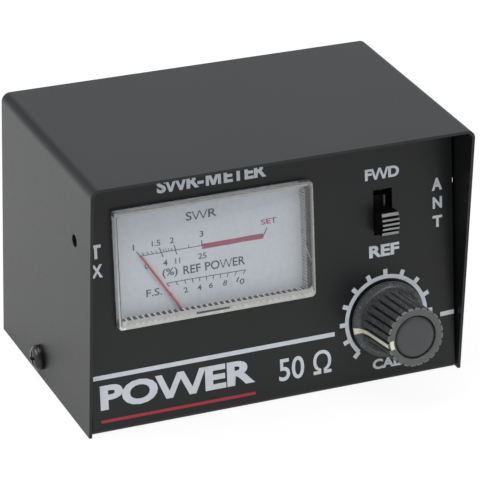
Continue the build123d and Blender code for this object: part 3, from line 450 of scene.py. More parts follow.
def make_floor():
    """White paper whose own glow washes out the shadows, most of all where it is looked at."""
    size = 1.6
    mat, tree, bsdf = new_material("floor")
    grain = noise(tree, millimetre_coords(tree), 0.02, 2.0)
    tint = colours(tree, grain, [(0.3, (0.82, 0.82, 0.82)), (0.7, (0.84, 0.84, 0.84))])
    feed(bsdf, Base_Color=tint, Roughness=0.8)
    glow = add_node(tree, "ShaderNodeEmission", Strength=1.02)
    share = by_ray(tree, FLOOR_GLOW, FLOOR_SEEN)
    blend_shaders(tree, share, bsdf.outputs["BSDF"], glow.outputs["Emission"])
    mesh = bpy.data.meshes.new("floor")
    z = cad_box[0].z
    mesh.from_pydata([(-size, -size, z), (size, -size, z), (size, size, z), (-size, size, z)],
                     [], [(0, 1, 2, 3)])
    mesh.materials.append(mat)
    add_object("floor", mesh)


make_floor()

# ---- local frames


def panel_frame():
    """The front panel's frame: x across, y up the slope from the floor, z out. Millimetres in."""
    out = -Vector(joints["cal_knob_turn"]["axis"])
    up = Vector(joints["function_slide"]["axis"])
    knob = Vector(joints["cal_knob_turn"]["pos_m"])
    foot = knob - up * (knob.z / up.z)
    foot.x = 0.0
    place = (Matrix((up.cross(out), up, out)).transposed() * MM).to_4x4()
    place.translation = foot
    return place


PANEL = panel_frame()
TO_PANEL = PANEL.inverted()
KNOB_AT = TO_PANEL @ Vector(joints["cal_knob_turn"]["pos_m"])
PIVOT_AT = TO_PANEL @ Vector(joints["pointer_swing"]["pos_m"])
KNOB = PANEL @ Matrix.Translation((KNOB_AT.x, KNOB_AT.y, 0.0))

# ---- mesh tools


WELD = 0.0005 * MM
SLIVER = 0.0002 * MM
LETTER_WELD = 0.002 * MM
TEXT_WELD = 1e-5
SHARP = 32.0


def opened(mesh):
    work = bmesh.new()
    work.from_mesh(mesh)
    return work


def close(work, mesh):
    """Writes the worked mesh back, with its faces turned outwards."""
    bmesh.ops.recalc_face_normals(work, faces=work.faces)
    work.to_mesh(mesh)
    work.free()


def make_mesh(name, verts, faces, place, angle=SHARP):
    """A closed mesh from local points, smooth except across sharp edges."""
    mesh = bpy.data.meshes.new(name)
    mesh.from_pydata([place @ Vector(v) for v in verts], [], faces)
    work = opened(mesh)
    bmesh.ops.remove_doubles(work, verts=work.verts, dist=WELD)
    bmesh.ops.dissolve_degenerate(work, dist=SLIVER, edges=work.edges)
    close(work, mesh)
    smooth(mesh, angle)
    return mesh


def smooth(mesh, angle):
    mesh.polygons.foreach_set("use_smooth", [True] * len(mesh.polygons))
    mesh.set_sharp_from_angle(angle=math.radians(angle))


def piece(name, mesh, body, material, replaces=()):
    obj = add_object(name, mesh)
    mesh.materials.clear()
    mesh.materials.append(MATERIALS[material])
    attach(obj, body)
    if replaces:
        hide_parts(*replaces)
    return obj


def printed(name, part, ink):
    """A closed (verts, faces) part in the panel's frame, printed on the case."""
    piece(name, make_mesh(name, *part, PANEL), "case", ink)


def loft(loops):
    """Quads between rings of points, with both ends closed."""
    verts = [p for loop in loops for p in loop]
    n = len(loops[0])
    faces = []
    for i in range(len(loops) - 1):
        for j in range(n):
            k = (j + 1) % n
            faces.append((i * n + j, i * n + k, (i + 1) * n + k, (i + 1) * n + j))
    faces.append(tuple(reversed(range(n))))
    faces.append(tuple(range((len(loops) - 1) * n, len(loops) * n)))
    return verts, faces


def merged(parts):
    """Several (verts, faces) as one."""
    verts, faces = [], []
    for v, f in parts:
        start = len(verts)
        verts += v
        faces += [tuple(i + start for i in face) for face in f]
    return verts, faces


def strip(left, right, z0, z1):
    """A flat raised band between two lines of points."""
    loops = []
    for a, b in zip(left, right):
        loops.append([(*a, z0), (*b, z0), (*b, z1), (*a, z1)])
    return loft(loops)


def bar(x0, y0, x1, y1, width, z0, z1):
    """A straight raised line between two points."""
    along = Vector((x1 - x0, y1 - y0)).normalized() * (width / 2)
    side = (-along.y, along.x)
    left = [(x0 + side[0], y0 + side[1]), (x1 + side[0], y1 + side[1])]
    right = [(x0 - side[0], y0 - side[1]), (x1 - side[0], y1 - side[1])]
    return strip(left, right, z0, z1)


def arc(cx, cy, radius, start, end, steps):
    points = []
    for i in range(steps + 1):
        a = math.radians(start + (end - start) * i / steps)
        points.append((cx + radius * math.cos(a), cy + radius * math.sin(a)))
    return points


def lathe(profile, steps, shape=None):
    """A profile of (radius, height) turned about z. shape may move each (radius, height, angle)."""
    loops = []
    for i in range(steps):
        a = 2 * math.pi * i / steps
        loop = []
        for r, z in profile:
            if shape is not None:
                r, z = shape(r, z, a)
            loop.append((r * math.cos(a), r * math.sin(a), z))
        loops.append(loop)
    verts = [p for loop in loops for p in loop]
    n = len(profile)
    faces = []
    for i in range(steps):
        j = (i + 1) % steps
        for k in range(n - 1):
            faces.append((i * n + k, j * n + k, j * n + k + 1, i * n + k + 1))
    return verts, faces


def ease(value, low, high):
    t = max(0.0, min(1.0, (value - low) / (high - low)))
    return t * t * (3.0 - 2.0 * t)


# ---- print on the panel

INK_LOW = -0.02
INK_HIGH = 0.03


def w_outline(stroke):
    """A plain W in a unit box, with strokes of the given width."""
    foot = 0.27
    half = stroke / 2
    low = stroke / (0.5 - half)
    notch = stroke + (1.0 - low) * (foot - half)
    middle = 1.0 - half / (0.5 - foot)
    return [(0.0, 1.0), (foot - half, 0.0), (foot + half, 0.0), (0.5, middle),
            (1.0 - foot - half, 0.0), (1.0 - foot + half, 0.0), (1.0, 1.0), (1.0 - stroke, 1.0),
            (1.0 - notch, low), (0.5 + half, 1.0), (0.5 - half, 1.0), (notch, low), (stroke, 1.0)]


def m_outline(stroke):
    """A plain M in a unit box, with strokes of the given width."""
    slope = 0.5 - 0.8 * stroke
    middle = 0.55 * stroke / slope
    inner = (0.5 - 1.55 * stroke) / slope
    top = 1.35 * stroke
    foot = 0.55 * stroke
    return [(0.0, 0.0), (0.0, 1.0), (top, 1.0), (0.5, middle), (1.0 - top, 1.0), (1.0, 1.0),
            (1.0, 0.0), (1.0 - stroke, 0.0), (1.0 - stroke, inner), (0.5 + foot, 0.0),
            (0.5 - foot, 0.0), (stroke, inner), (stroke, 0.0)]


OUTLINES = {"W": w_outline, "M": m_outline}
THIN_STROKES = {"W": 0.075, "M": 0.12}
BOLD_STROKES = {"W": 0.13, "M": 0.20}
BOLD_WEIGHT = 0.02


def islands(work):
    """The separate letters of a text mesh, from left to right."""
    left = set(work.verts)
    found = []
    while left:
        group, edge = set(), {left.pop()}
        while edge:
            vert = edge.pop()
            group.add(vert)
            edge |= {e.other_vert(vert) for e in vert.link_edges} - group
        left -= group
        found.append(sorted(group, key=lambda v: v.index))
    return sorted(found, key=lambda group: min(v.co.x for v in group))


def redraw(mesh, text, weight):
    """Replaces each W and M by a plain outline in the same place."""
    work = opened(mesh)
    bmesh.ops.remove_doubles(work, verts=work.verts, dist=TEXT_WELD)
    work.verts.index_update()
    groups = islands(work)
    letters = text.replace(" ", "")
    if len(groups) == len(letters):
        for letter, group in zip(letters, groups):
            if letter not in OUTLINES:
                continue
            x0, y0, z0 = (min(v.co[k] for v in group) for k in range(3))
            x1, y1, z1 = (max(v.co[k] for v in group) for k in range(3))
            strokes = BOLD_STROKES if weight > BOLD_WEIGHT else THIN_STROKES
            outline = OUTLINES[letter](strokes[letter])
            bmesh.ops.delete(work, geom=group, context="VERTS")
            flat = [(x0 + u * (x1 - x0), y0 + v * (y1 - y0)) for u, v in outline]
            back, front = ([work.verts.new((x, y, z)) for x, y in flat] for z in (z0, z1))
            for i in range(len(flat)):
                work.faces.new((back[i - 1], back[i], front[i], front[i - 1]))
            caps = [work.faces.new(back), work.faces.new(front)]
            for cap in caps:
                cap.normal_update()
            bmesh.ops.triangulate(work, faces=caps)
    close(work, mesh)


def letter_mesh(name, text, box, z0, z1, weight, turn=0.0):
    """Plain lettering fitted to a box (x0, y0, x1, y1) on the panel, as a thin raised layer."""
    curve = bpy.data.curves.new(name, "FONT")
    curve.body = text
    curve.size = 1.0
    curve.offset = weight
    curve.extrude = 0.5
    curve.resolution_u = 4
    maker = add_object(name, curve)
    bpy.context.view_layer.update()
    mesh = bpy.data.meshes.new_from_object(maker)
    bpy.data.objects.remove(maker)
    bpy.data.curves.remove(curve)
    if OUTLINES.keys() & set(text):
        redraw(mesh, text, weight)
    xs = [v.co.x for v in mesh.vertices]
    ys = [v.co.y for v in mesh.vertices]
    x0, y0, x1, y1 = box
    middle = Vector(((x0 + x1) / 2, (y0 + y1) / 2, 0.0))
    spin = Matrix.Translation(middle) @ Matrix.Rotation(math.radians(turn), 4, "Z")
    width = (x1 - x0) / (max(xs) - min(xs))
    height = (y1 - y0) / (max(ys) - min(ys))
    for v in mesh.vertices:
        local = Vector((
            (v.co.x - min(xs)) * width - (x1 - x0) / 2,
            (v.co.y - min(ys)) * height - (y1 - y0) / 2,
            z0 if v.co.z < 0 else z1,
        ))
        v.co = PANEL @ (spin @ local)
    work = opened(mesh)
    bmesh.ops.remove_doubles(work, verts=work.verts, dist=LETTER_WELD)
    close(work, mesh)
    smooth(mesh, SHARP)
    return mesh


PANEL_WORDS = (
    # name, text, box, weight
    ("legend_fwd", "FWD", (26.4, 55.95, 36.2, 59.0), 0.040),
    ("legend_ref", "REF", (27.1, 34.8, 35.8, 38.05), 0.040),
    ("legend_cal", "CAL", (27.4, 3.75, 35.6, 6.6), 0.040),
    ("legend_ant_a", "A", (45.6, 50.35, 48.6, 53.75), 0.040),
    ("legend_ant_n", "N", (45.8, 45.35, 48.5, 48.55), 0.040),
    ("legend_ant_t", "T", (45.7, 40.25, 48.5, 43.45), 0.040),
    ("legend_tx_t", "T", (-49.9, 47.25, -47.1, 50.95), 0.040),
    ("legend_tx_x", "X", (-49.9, 42.25, -46.9, 45.75), 0.040),
    ("legend_swr", "SWR-", (-31.36, 61.65, -18.6, 65.2), 0.042),
    ("legend_m", "M", (-18.0, 61.65, -13.85, 65.2), 0.024),
    ("legend_eter", "ETER", (-13.1, 61.65, -1.31, 65.2), 0.042),
    ("legend_power", "POWER", (-49.3, 6.6, -6.4, 13.4), 0.040),
    ("legend_ohms", "50 Ω", (0.4, 5.4, 15.4, 12.0), 0.012),
)

STRIPE_WIDTH = 1.2
STRIPE = ((-50.95, 15.55, 16.6, 15.75), (47.5, 15.85, 51.55, 16.0))
RING_IN = 10.9
RING_OUT = 12.0
RING_STEPS = 90
TICK_OUT = 13.5
TICK_WIDTH = 1.2
TICK_DROP = 0.002
TICKS = 13
TICK_START = 225.0
TICK_STEP = 22.5
RULE = (-49.3, 3.6, -6.4, 3.6)
RULE_WIDTH = 0.8


def print_panel():
    for name, text, box, weight in PANEL_WORDS:
        mesh = letter_mesh(name, text, box, INK_LOW, INK_HIGH, weight)
        piece(name, mesh, "case", "panel_ink")
    lines = [bar(*line, STRIPE_WIDTH, INK_LOW, INK_HIGH) for line in STRIPE]
    printed("panel_stripe", merged(lines), "panel_ink")
    x, y = KNOB_AT.x, KNOB_AT.y
    end = TICK_START - TICK_STEP * (TICKS - 1)
    inner = arc(x, y, RING_IN, TICK_START, end, RING_STEPS)
    outer = arc(x, y, RING_OUT, TICK_START, end, RING_STEPS)
    scale = [strip(inner, outer, INK_LOW, INK_HIGH)]
    start = (RING_IN + RING_OUT) / 2
    for i in range(TICKS):
        a = math.radians(TICK_START - TICK_STEP * i)
        c, s = math.cos(a), math.sin(a)
        scale.append(bar(x + start * c, y + start * s, x + TICK_OUT * c, y + TICK_OUT * s,
                         TICK_WIDTH, INK_LOW, INK_HIGH - TICK_DROP))
    printed("cal_scale", merged(scale), "panel_ink")
    rule = bar(*RULE, RULE_WIDTH, INK_LOW, INK_HIGH)
    printed("panel_rule", rule, "red_ink")


print_panel()

# ---- dial


def dial_face_height():
    """How far the dial plate's front face is out from the panel's face."""
    heights = sorted((TO_PANEL @ v.co).z for v in frame["nodes"]["meter_dial"].data.vertices)
    counts = {}
    for h in heights:
        key = round(h, 2)
        counts[key] = counts.get(key, 0) + 1
    low = min(counts)
    return min(k for k in counts if k > low + 0.2)


DIAL_Z = dial_face_height()
DIAL_LOW = DIAL_Z - 0.01
DIAL_HIGH = DIAL_Z + 0.02
UP_SHIFT = 0.75

DIAL_WORDS = (
    # name, text, box
    ("dial_swr", "SWR", (-22.98, 51.85, -14.36, 54.2)),
    ("dial_set", "SET", (-2.0, 47.25, 2.16, 48.75)),
    ("dial_power", "REF POWER", (-24.14, 37.4, -7.05, 39.75)),
    ("dial_percent", "(%)", (-29.96, 37.2, -25.74, 39.9)),
    ("dial_fs", "F.S.", (-34.64, 33.0, -30.27, 35.0)),
    ("dial_u_1", "1", (-37.85, 46.3, -37.45, 47.9)),
    ("dial_u_1_5", "1.5", (-32.6, 46.5, -30.2, 48.05)),
    ("dial_u_2", "2", (-27.55, 46.5, -26.45, 48.1)),
    ("dial_u_3", "3", (-19.3, 46.9, -18.2, 48.5)),
    ("dial_l_0", "0", (-34.8, 40.7, -33.6, 42.25)),
    ("dial_l_4", "4", (-29.7, 40.7, -28.4, 42.25)),
    ("dial_l_11", "11", (-26.3, 40.7, -24.9, 42.25)),
    ("dial_l_25", "25", (-19.9, 40.9, -17.5, 42.45)),
    ("dial_p_2", "2", (-24.35, 32.4, -23.25, 33.9)),
    ("dial_p_4", "4", (-20.6, 32.45, -19.4, 33.95)),
    ("dial_p_6", "6", (-17.35, 32.5, -16.25, 34.0)),
    ("dial_p_8", "8", (-13.4, 32.5, -12.3, 34.0)),
    ("dial_p_10", "10", (-9.6, 32.4, -7.4, 33.9)),
)
DIAL_WEIGHT = 0.014
SET_WEIGHT = 0.02
WORD_TURNS = {"dial_p_2": 10.0, "dial_p_6": -8.0, "dial_p_8": -17.0, "dial_p_10": -28.0}

TICK_LINE = 0.28
UPPER_LINE = (-35.84, 44.5, -18.75, 44.5)
MAJOR_TICKS = (
    (-36.85, 45.87, -35.03, 43.19), (-30.55, 45.85, -29.58, 43.18),
    (-26.48, 45.94, -25.81, 43.28), (-18.75, 44.5, -18.75, 45.95), (-1.9, 43.84, -0.56, 46.29))
RED_BAND = (-18.7, 44.2, -1.75, 44.2)
RED_BAND_WIDTH = 1.4
MINOR_TICK = 0.85
MINOR_AT = (-34.75, -33.55, -32.35, -31.25, -29.25, -28.55, -27.85, -27.1, -22.4)
LOWER_Y = 35.85
LOWER_START = -28.82
LOWER_END = -7.03
LOWER_TICKS = 11
LOWER_SPAN = 31.5
LOWER_TICK = 1.05


def raised(line, width=TICK_LINE, top=DIAL_HIGH):
    x0, y0, x1, y1 = line
    return bar(x0, y0 + UP_SHIFT, x1, y1 + UP_SHIFT, width, DIAL_LOW, top)


def print_dial():
    for name, text, (x0, y0, x1, y1) in DIAL_WORDS:
        box = (x0, y0 + UP_SHIFT, x1, y1 + UP_SHIFT)
        ink, weight = ("dial_red", SET_WEIGHT) if text == "SET" else ("dial_ink", DIAL_WEIGHT)
        turn = WORD_TURNS.get(name, 0.0)
        mesh = letter_mesh(name, text, box, DIAL_LOW, DIAL_HIGH, weight, turn)
        piece(name, mesh, "case", ink)
    marks = [raised(UPPER_LINE, 0.2)]
    for line in MAJOR_TICKS:
        marks.append(raised(line, TICK_LINE, DIAL_HIGH + 0.004))
    for x in MINOR_AT:
        lean = (PIVOT_AT.x - x) / (UPPER_LINE[1] - PIVOT_AT.y) * MINOR_TICK
        marks.append(raised((x, 44.5, x - lean, 44.5 + MINOR_TICK), 0.2, DIAL_HIGH - 0.004))
    marks.append(raised((LOWER_START, LOWER_Y, LOWER_END, LOWER_Y), 0.2))
    for i in range(LOWER_TICKS):
        angle = math.radians(-LOWER_SPAN + 2 * LOWER_SPAN * i / (LOWER_TICKS - 1))
        rise = LOWER_Y + UP_SHIFT - PIVOT_AT.y
        x = LOWER_START + (LOWER_END - LOWER_START) * (
            math.tan(angle) / (2 * math.tan(math.radians(LOWER_SPAN))) + 0.5)
        lean = (x - PIVOT_AT.x) / rise * LOWER_TICK
        end = (x - lean, LOWER_Y - LOWER_TICK)
        marks.append(raised((x, LOWER_Y, *end), 0.24, DIAL_HIGH - 0.004))
    printed("dial_scales", merged(marks), "dial_ink")
    band = raised(RED_BAND, RED_BAND_WIDTH, DIAL_HIGH - 0.006)
    printed("dial_red_band", band, "dial_red")


print_dial()

# ---- meter window

WINDOW_X = -16.66
WINDOW_HALF = 27.2
WINDOW_LOW = 28.2
WINDOW_TOP = 59.1
WINDOW_PROUD = 2.35
WINDOW_WALL = 1.2
RIGHT_WALL = 1.85
LEFT_WALL = 0.8
FLANGE_HALF = 29.7
FLANGE_LOW = 5.4
FLANGE_TOP = 61.3
FLANGE_FRONT = -1.2
FLANGE_BACK = -2.0
LOW_RIBS = 31
SIDE_RIBS = 28
RIB_DEPTH = 0.30
SIDE_RIB_SHARE = 0.6
CORNER_STEPS = 6
CORNERS = (0.7, 1.3, 1.3, 0.55)   # low left, low right, top right, top left
BEVEL = (0.28, 0.80, 0.55, 0.30)  # left, foot, right, top
LIP = (0.06, 1.72, 0.60, 0.70)    # band inside the bevel, in the same order
PROUD_FOOT = 0.32                 # how far the foot and the right side overhang the panel
PROUD_RIGHT = 0.22
FOOT_DARK_FROM = -23.7                 # span of the foot painted dark, under the needle's pivot
FOOT_DARK_TO = -15.0


def window_loop(inset, z, corner, rib):
    """A rounded rectangle, inset from the window's outline by (left, foot, right, top)."""
    x0, x1 = WINDOW_X - WINDOW_HALF + inset[0], WINDOW_X + WINDOW_HALF - inset[2]
    low, top = WINDOW_LOW + inset[1], WINDOW_TOP - inset[3]
    low_left, low_right, top_right, top_left = (r * corner for r in CORNERS)
    points = []
    for i in range(LOW_RIBS * 2 + 1):
        x = x0 + low_left + (x1 - x0 - low_left - low_right) * i / (LOW_RIBS * 2)
        points.append((x, low + rib * (i % 2)))
    points += arc(x1 - low_right, low + low_right, low_right, -90, 0, CORNER_STEPS)[1:-1]
    for i in range(SIDE_RIBS * 2 + 1):
        y = low + low_right + (top - low - low_right - top_right) * i / (SIDE_RIBS * 2)
        points.append((x1 - rib * SIDE_RIB_SHARE * (i % 2), y))
    points += arc(x1 - top_right, top - top_right, top_right, 0, 90, CORNER_STEPS)[1:]
    points += arc(x0 + top_left, top - top_left, top_left, 90, 180, CORNER_STEPS)
    points += arc(x0 + low_left, low + low_left, low_left, 180, 270, CORNER_STEPS)[:-1]
    return [(*p, z) for p in points]


def bevelled(share, lip=0.0):
    """Insets part of the way up the bevel, and then part of the way across the lip."""
    out = (0.0, -PROUD_FOOT, -PROUD_RIGHT, 0.0)
    return tuple(o + b * share + w * lip for o, b, w in zip(out, BEVEL, LIP))


FLUSH = (0.0, 0.0, 0.0, 0.0)
INNER = (LEFT_WALL, WINDOW_WALL, RIGHT_WALL, WINDOW_WALL)
FLANGE = (WINDOW_HALF - FLANGE_HALF, FLANGE_LOW - WINDOW_LOW,
          WINDOW_HALF - FLANGE_HALF, WINDOW_TOP - FLANGE_TOP)
FACE_BACK = WINDOW_PROUD - WINDOW_WALL


WINDOW_SURFACES = (
    "lens_clear", "lens_rim", "lens_flank", "lens_wall", "lens_shelf", "lens_side", "lens_soft",
    "lens_rib_light", "lens_rib_dark",
)


def window_bands():
    """Loops across the section from inside to outside, and what the band that leads to each is.

    A band's surfaces are named for its left, foot, right and top sides.
    """
    def grown(extra):
        return tuple(v + extra for v in INNER)

    # Apart from the clear face and the milky lens_soft, the lens's surfaces are painted light and
    # shade, chosen by side: lighter flanks and bevel, a darker right side and walls, and light and
    # dark rib facets.
    walls = ("lens_soft", "ribs", "side_ribs", "lens_soft")
    flanks = ("lens_soft", "lens_flank", "lens_flank", "lens_soft")
    plain = ("lens_wall",) * 4
    rows = (
        # inset, height, corner, rib, surfaces
        (grown(0.25), FACE_BACK, 1.0, 0.0, None),
        (grown(0.07), FACE_BACK - 0.07, 1.0, RIB_DEPTH * 0.6, walls),
        (INNER, FACE_BACK - 0.25, 1.0, RIB_DEPTH, walls),
        (INNER, FLANGE_BACK, 1.0, RIB_DEPTH, walls),
        (FLANGE, FLANGE_BACK, 2.0, 0.0, plain),
        (FLANGE, FLANGE_FRONT, 2.0, 0.0, plain),
        (FLUSH, FLANGE_FRONT, 1.0, 0.0, plain),
        (FLUSH, 0.06, 1.0, 0.0, plain),
        (bevelled(0.0), 0.10, 1.0, 0.0, flanks),
        (bevelled(0.0), WINDOW_PROUD - 0.50, 1.0, 0.0, flanks),
        (bevelled(0.08), WINDOW_PROUD - 0.40, 1.0, 0.0, flanks),
        (bevelled(0.75), WINDOW_PROUD - 0.07, 1.0, 0.0,
         ("lens_flank", "lens_rim", "lens_rim", "lens_flank")),
        (bevelled(1.0), WINDOW_PROUD, 1.0, 0.0,
         ("lens_flank", "lens_rim", "lens_rim", "lens_rim")),
        (bevelled(1.0, 0.12), WINDOW_PROUD, 1.0, 0.0,
         ("lens_wall", "lens_rim", "lens_wall", "lens_wall")),
        (bevelled(1.0, 0.45), WINDOW_PROUD, 1.0, 0.0,
         ("lens_wall", "dashes", "lens_side", "lens_shelf")),
        (bevelled(1.0, 1.0), WINDOW_PROUD, 1.0, 0.0,
         ("lens_wall", "lens_shelf", "lens_wall", "lens_shelf")),
    )
    return [(window_loop(*row[:4]), row[4]) for row in rows]


def side_of(index):
    """Which side of the window a loop's point belongs to: 0 left, 1 foot, 2 right, 3 top."""
    foot = LOW_RIBS * 2 + 1
    right = foot + CORNER_STEPS - 1
    top = right + SIDE_RIBS * 2 + 1 + CORNER_STEPS // 2
    left = top + CORNER_STEPS
    low_left = left + CORNER_STEPS + 1
    if index < foot + 2 or index >= low_left:
        return 1
    if index < top:
        return 2
    return 3 if index < left else 0


def surface_at(names, index, x):
    name = names[side_of(index)]
    # the foot's rib facets alternate painted highlight and painted shade
    if name == "ribs":
        return "lens_rib_light" if index % 2 else "lens_rib_dark"
    # the right side's ribs alternate a mid grey and painted shade
    if name == "side_ribs":
        return "lens_shelf" if index % 2 else "lens_wall"
    # the foot's dashes alternate painted light and a mid grey, with a span painted dark under the
    # needle's pivot
    if name == "dashes":
        if FOOT_DARK_FROM < x < FOOT_DARK_TO:
            return "lens_rib_dark"
        return "lens_rim" if index % 2 else "lens_shelf"
    return name


def make_window():
    bands = window_bands()
    loops = [band[0] for band in bands]
    mesh = make_mesh("meter_window", *loft(loops), PANEL, 25.0)
    piece("meter_window", mesh, "case", "lens_clear", ["meter_lens"])
    for name in WINDOW_SURFACES[1:]:
        mesh.materials.append(MATERIALS[name])
    around = len(loops[0])
    for number, face in enumerate(mesh.polygons):
        if len(face.vertices) > 4 or number >= around * (len(loops) - 1):
            continue
        band, index = divmod(number, around)
        name = surface_at(bands[band + 1][1], index, loops[band][index][0])
        face.material_index = WINDOW_SURFACES.index(name)


make_window()

# ---- knob

FLUTES = 24
FLUTE_STEPS = 22
FLUTE_DEPTH = 0.66
FLUTE_HALF = 2.3
FLUTE_FROM = 3.9
FLUTE_FULL = 4.9
MARK_TURN = 189.0
KNOB_TOP = 17.3
FACE_FROM = 17.0
HIGHLIGHT_FROM = 16.9
HIGHLIGHT_R = 7.45
GROOVE_SHADE_FROM = 0.75
ROLL_R = 4.9
RIM_FADE = (7.1, 7.75)
RIM_SHALLOW = 0.45

KNOB_OUTSIDE = [
    (10.05, 0.7), (10.3, 0.85), (10.3, 1.35), (10.15, 1.62), (9.75, 1.78), (9.3, 1.95), (8.95, 2.2),
    (8.68, 2.6), (8.48, 3.1), (8.32, 3.7), (8.2, 4.4), (8.12, 5.2), (8.06, 6.2),
]


SIDE_STEPS = 8
SIDE_DRAFT = 0.09
SIDE_TOP = 16.75


def knob_outside():
    """The skirt and the flare, then the grip's side with its slight draft."""
    radius, foot = KNOB_OUTSIDE[-1]
    side = []
    for i in range(1, SIDE_STEPS + 1):
        share = i / SIDE_STEPS
        side.append((radius - SIDE_DRAFT * share, foot + (SIDE_TOP - foot) * share))
    return KNOB_OUTSIDE + side


def knob_profile():
    rim = [(7.94, 16.95), (7.86, 17.12), (7.72, 17.24), (7.52, KNOB_TOP), (7.1, KNOB_TOP),
           (6.5, KNOB_TOP), (6.2, 17.28), (6.0, 17.2), (5.86, 17.05), (5.79, 16.85), (5.76, 16.6),
           (5.76, 15.98), (0.0, 15.98)]
    under = [(0.0, 15.85), (3.02, 15.85), (3.02, 6.2), (6.4, 6.2), (6.6, 6.0), (6.6, 0.8),
             (6.7, 0.7), (8.4, 0.7)]
    return under + knob_outside() + rim


def groove_at(angle):
    """Depth share of the flutes at an angle, 0 on the lands."""
    pitch = 360.0 / FLUTES
    off = (math.degrees(angle) - MARK_TURN) % pitch - pitch / 2
    share = max(0.0, 1.0 - (off / FLUTE_HALF) ** 4)
    crown = 0.16 * (1.0 - abs(off) / (pitch / 2)) ** 2
    return share + crown


def fluted(r, z, angle):
    if r < RIM_FADE[0] or z < FLUTE_FROM:
        return r, z
    depth = FLUTE_DEPTH * ease(z, FLUTE_FROM, FLUTE_FULL) * ease(r, *RIM_FADE)
    depth *= 1.0 - RIM_SHALLOW * ease(z, 16.0, KNOB_TOP)
    return r - depth * groove_at(angle), z


def ribbon(name, path, lift, turn, place):
    """A painted line that follows a turned profile at one angle, half its width each side."""
    across = 6
    loops = []
    for r, z, nr, nz, half in path:
        row_out, row_in = [], []
        for i in range(across + 1):
            offset = half * (2 * i / across - 1)
            a = math.radians(turn) + offset / max(r, 1.0)
            out, inn = (r + nr * lift, z + nz * lift), (r - nr * 0.12, z - nz * 0.12)
            row_out.append((out[0] * math.cos(a), out[0] * math.sin(a), out[1]))
            row_in.append((inn[0] * math.cos(a), inn[0] * math.sin(a), inn[1]))
        loops.append(row_out + row_in[::-1])
    return make_mesh(name, *loft(loops), place, 40.0)


def outward_path(points, widths):
    """Each (radius, height) with its outward normal and half width."""
    path = []
    for i, (r, z) in enumerate(points):
        share = i / (len(points) - 1)
        half = widths[0] + (widths[1] - widths[0]) * min(1.0, share * widths[2])
        r0, z0 = points[max(0, i - 1)]
        r1, z1 = points[min(len(points) - 1, i + 1)]
        along = Vector((r1 - r0, z1 - z0)).normalized()
        path.append((r, z, along.y, -along.x, half))
    return path


def make_knob():
    profile = knob_profile()
    turned = lathe(profile + [profile[0]], FLUTES * FLUTE_STEPS, fluted)
    mesh = make_mesh("cal_knob_body", *turned, KNOB)
    piece("cal_knob_body", mesh, "cal_control", "knob_plastic", ["cal_knob"])
    for name in ("knob_face", "knob_edge", "knob_groove"):
        mesh.materials.append(MATERIALS[name])
    to_knob = KNOB.inverted()
    for face in mesh.polygons:
        middle = to_knob @ face.center
        wide = math.hypot(middle.x, middle.y)
        # painted highlight: the rim's outer edge takes the light grey copy of the knob plastic
        if middle.z > HIGHLIGHT_FROM and wide > HIGHLIGHT_R:
            face.material_index = 2
        # the front annulus takes a lighter copy of the knob plastic
        elif middle.z > FACE_FROM:
            face.material_index = 1
        # painted shade: the deep flute faces take the near-black copy of the knob plastic
        elif middle.z > FLUTE_FROM and wide > RIM_FADE[0]:
            if groove_at(math.atan2(middle.y, middle.x)) > GROOVE_SHADE_FROM:
                face.material_index = 3
    body = knob_outside()[2:] + [(7.94, 16.95)]
    line = ribbon("knob_line", outward_path(body, (0.95, 0.52, 3.0)), 0.03, MARK_TURN, KNOB)
    piece("knob_line", line, "cal_control", "cream_paint")
    front = [(7.45, KNOB_TOP), (6.9, KNOB_TOP), (6.35, KNOB_TOP)]
    mark = ribbon("knob_mark", outward_path(front, (1.2, 1.2, 1.0)), 0.03, MARK_TURN, KNOB)
    piece("knob_mark", mark, "cal_control", "cream_paint")
    disc = [(0.0, 15.99), (5.6, 15.99), (5.68, 16.1), (5.68, 16.5), (5.62, 16.68), (5.5, 16.84),
            (5.3, 16.98), (5.05, 17.1), (4.75, 17.2), (4.4, 17.27), (4.0, 17.31), (2.0, 17.33),
            (0.0, 17.33)]
    verts, faces = lathe(disc, 128)
    cap = make_mesh("knob_disc", verts, faces, KNOB)
    piece("knob_disc", cap, "cal_control", "knob_disc", ["knob_cap"])
    cap.materials.append(MATERIALS["knob_roll"])
    # painted shade: the disc's rolled edge beyond ROLL_R takes the darker ring
    for face in cap.polygons:
        middle = to_knob @ face.center
        face.material_index = 1 if math.hypot(middle.x, middle.y) > ROLL_R else 0


make_knob()

# ---- needle

NEEDLE_FROM = 4.4
NEEDLE_TO = 31.6
NEEDLE_ROOT = 0.33
NEEDLE_TIP = 0.27
NEEDLE_REST = 33.0
NEEDLE_BACK = -2.42
NEEDLE_FRONT = -2.18
NEEDLE_EDGE = 0.06
NEEDLE_BEVEL = 0.08
NEEDLE_STEPS = 12
BLOB_AT = 17.7
BLOB_R = 0.48


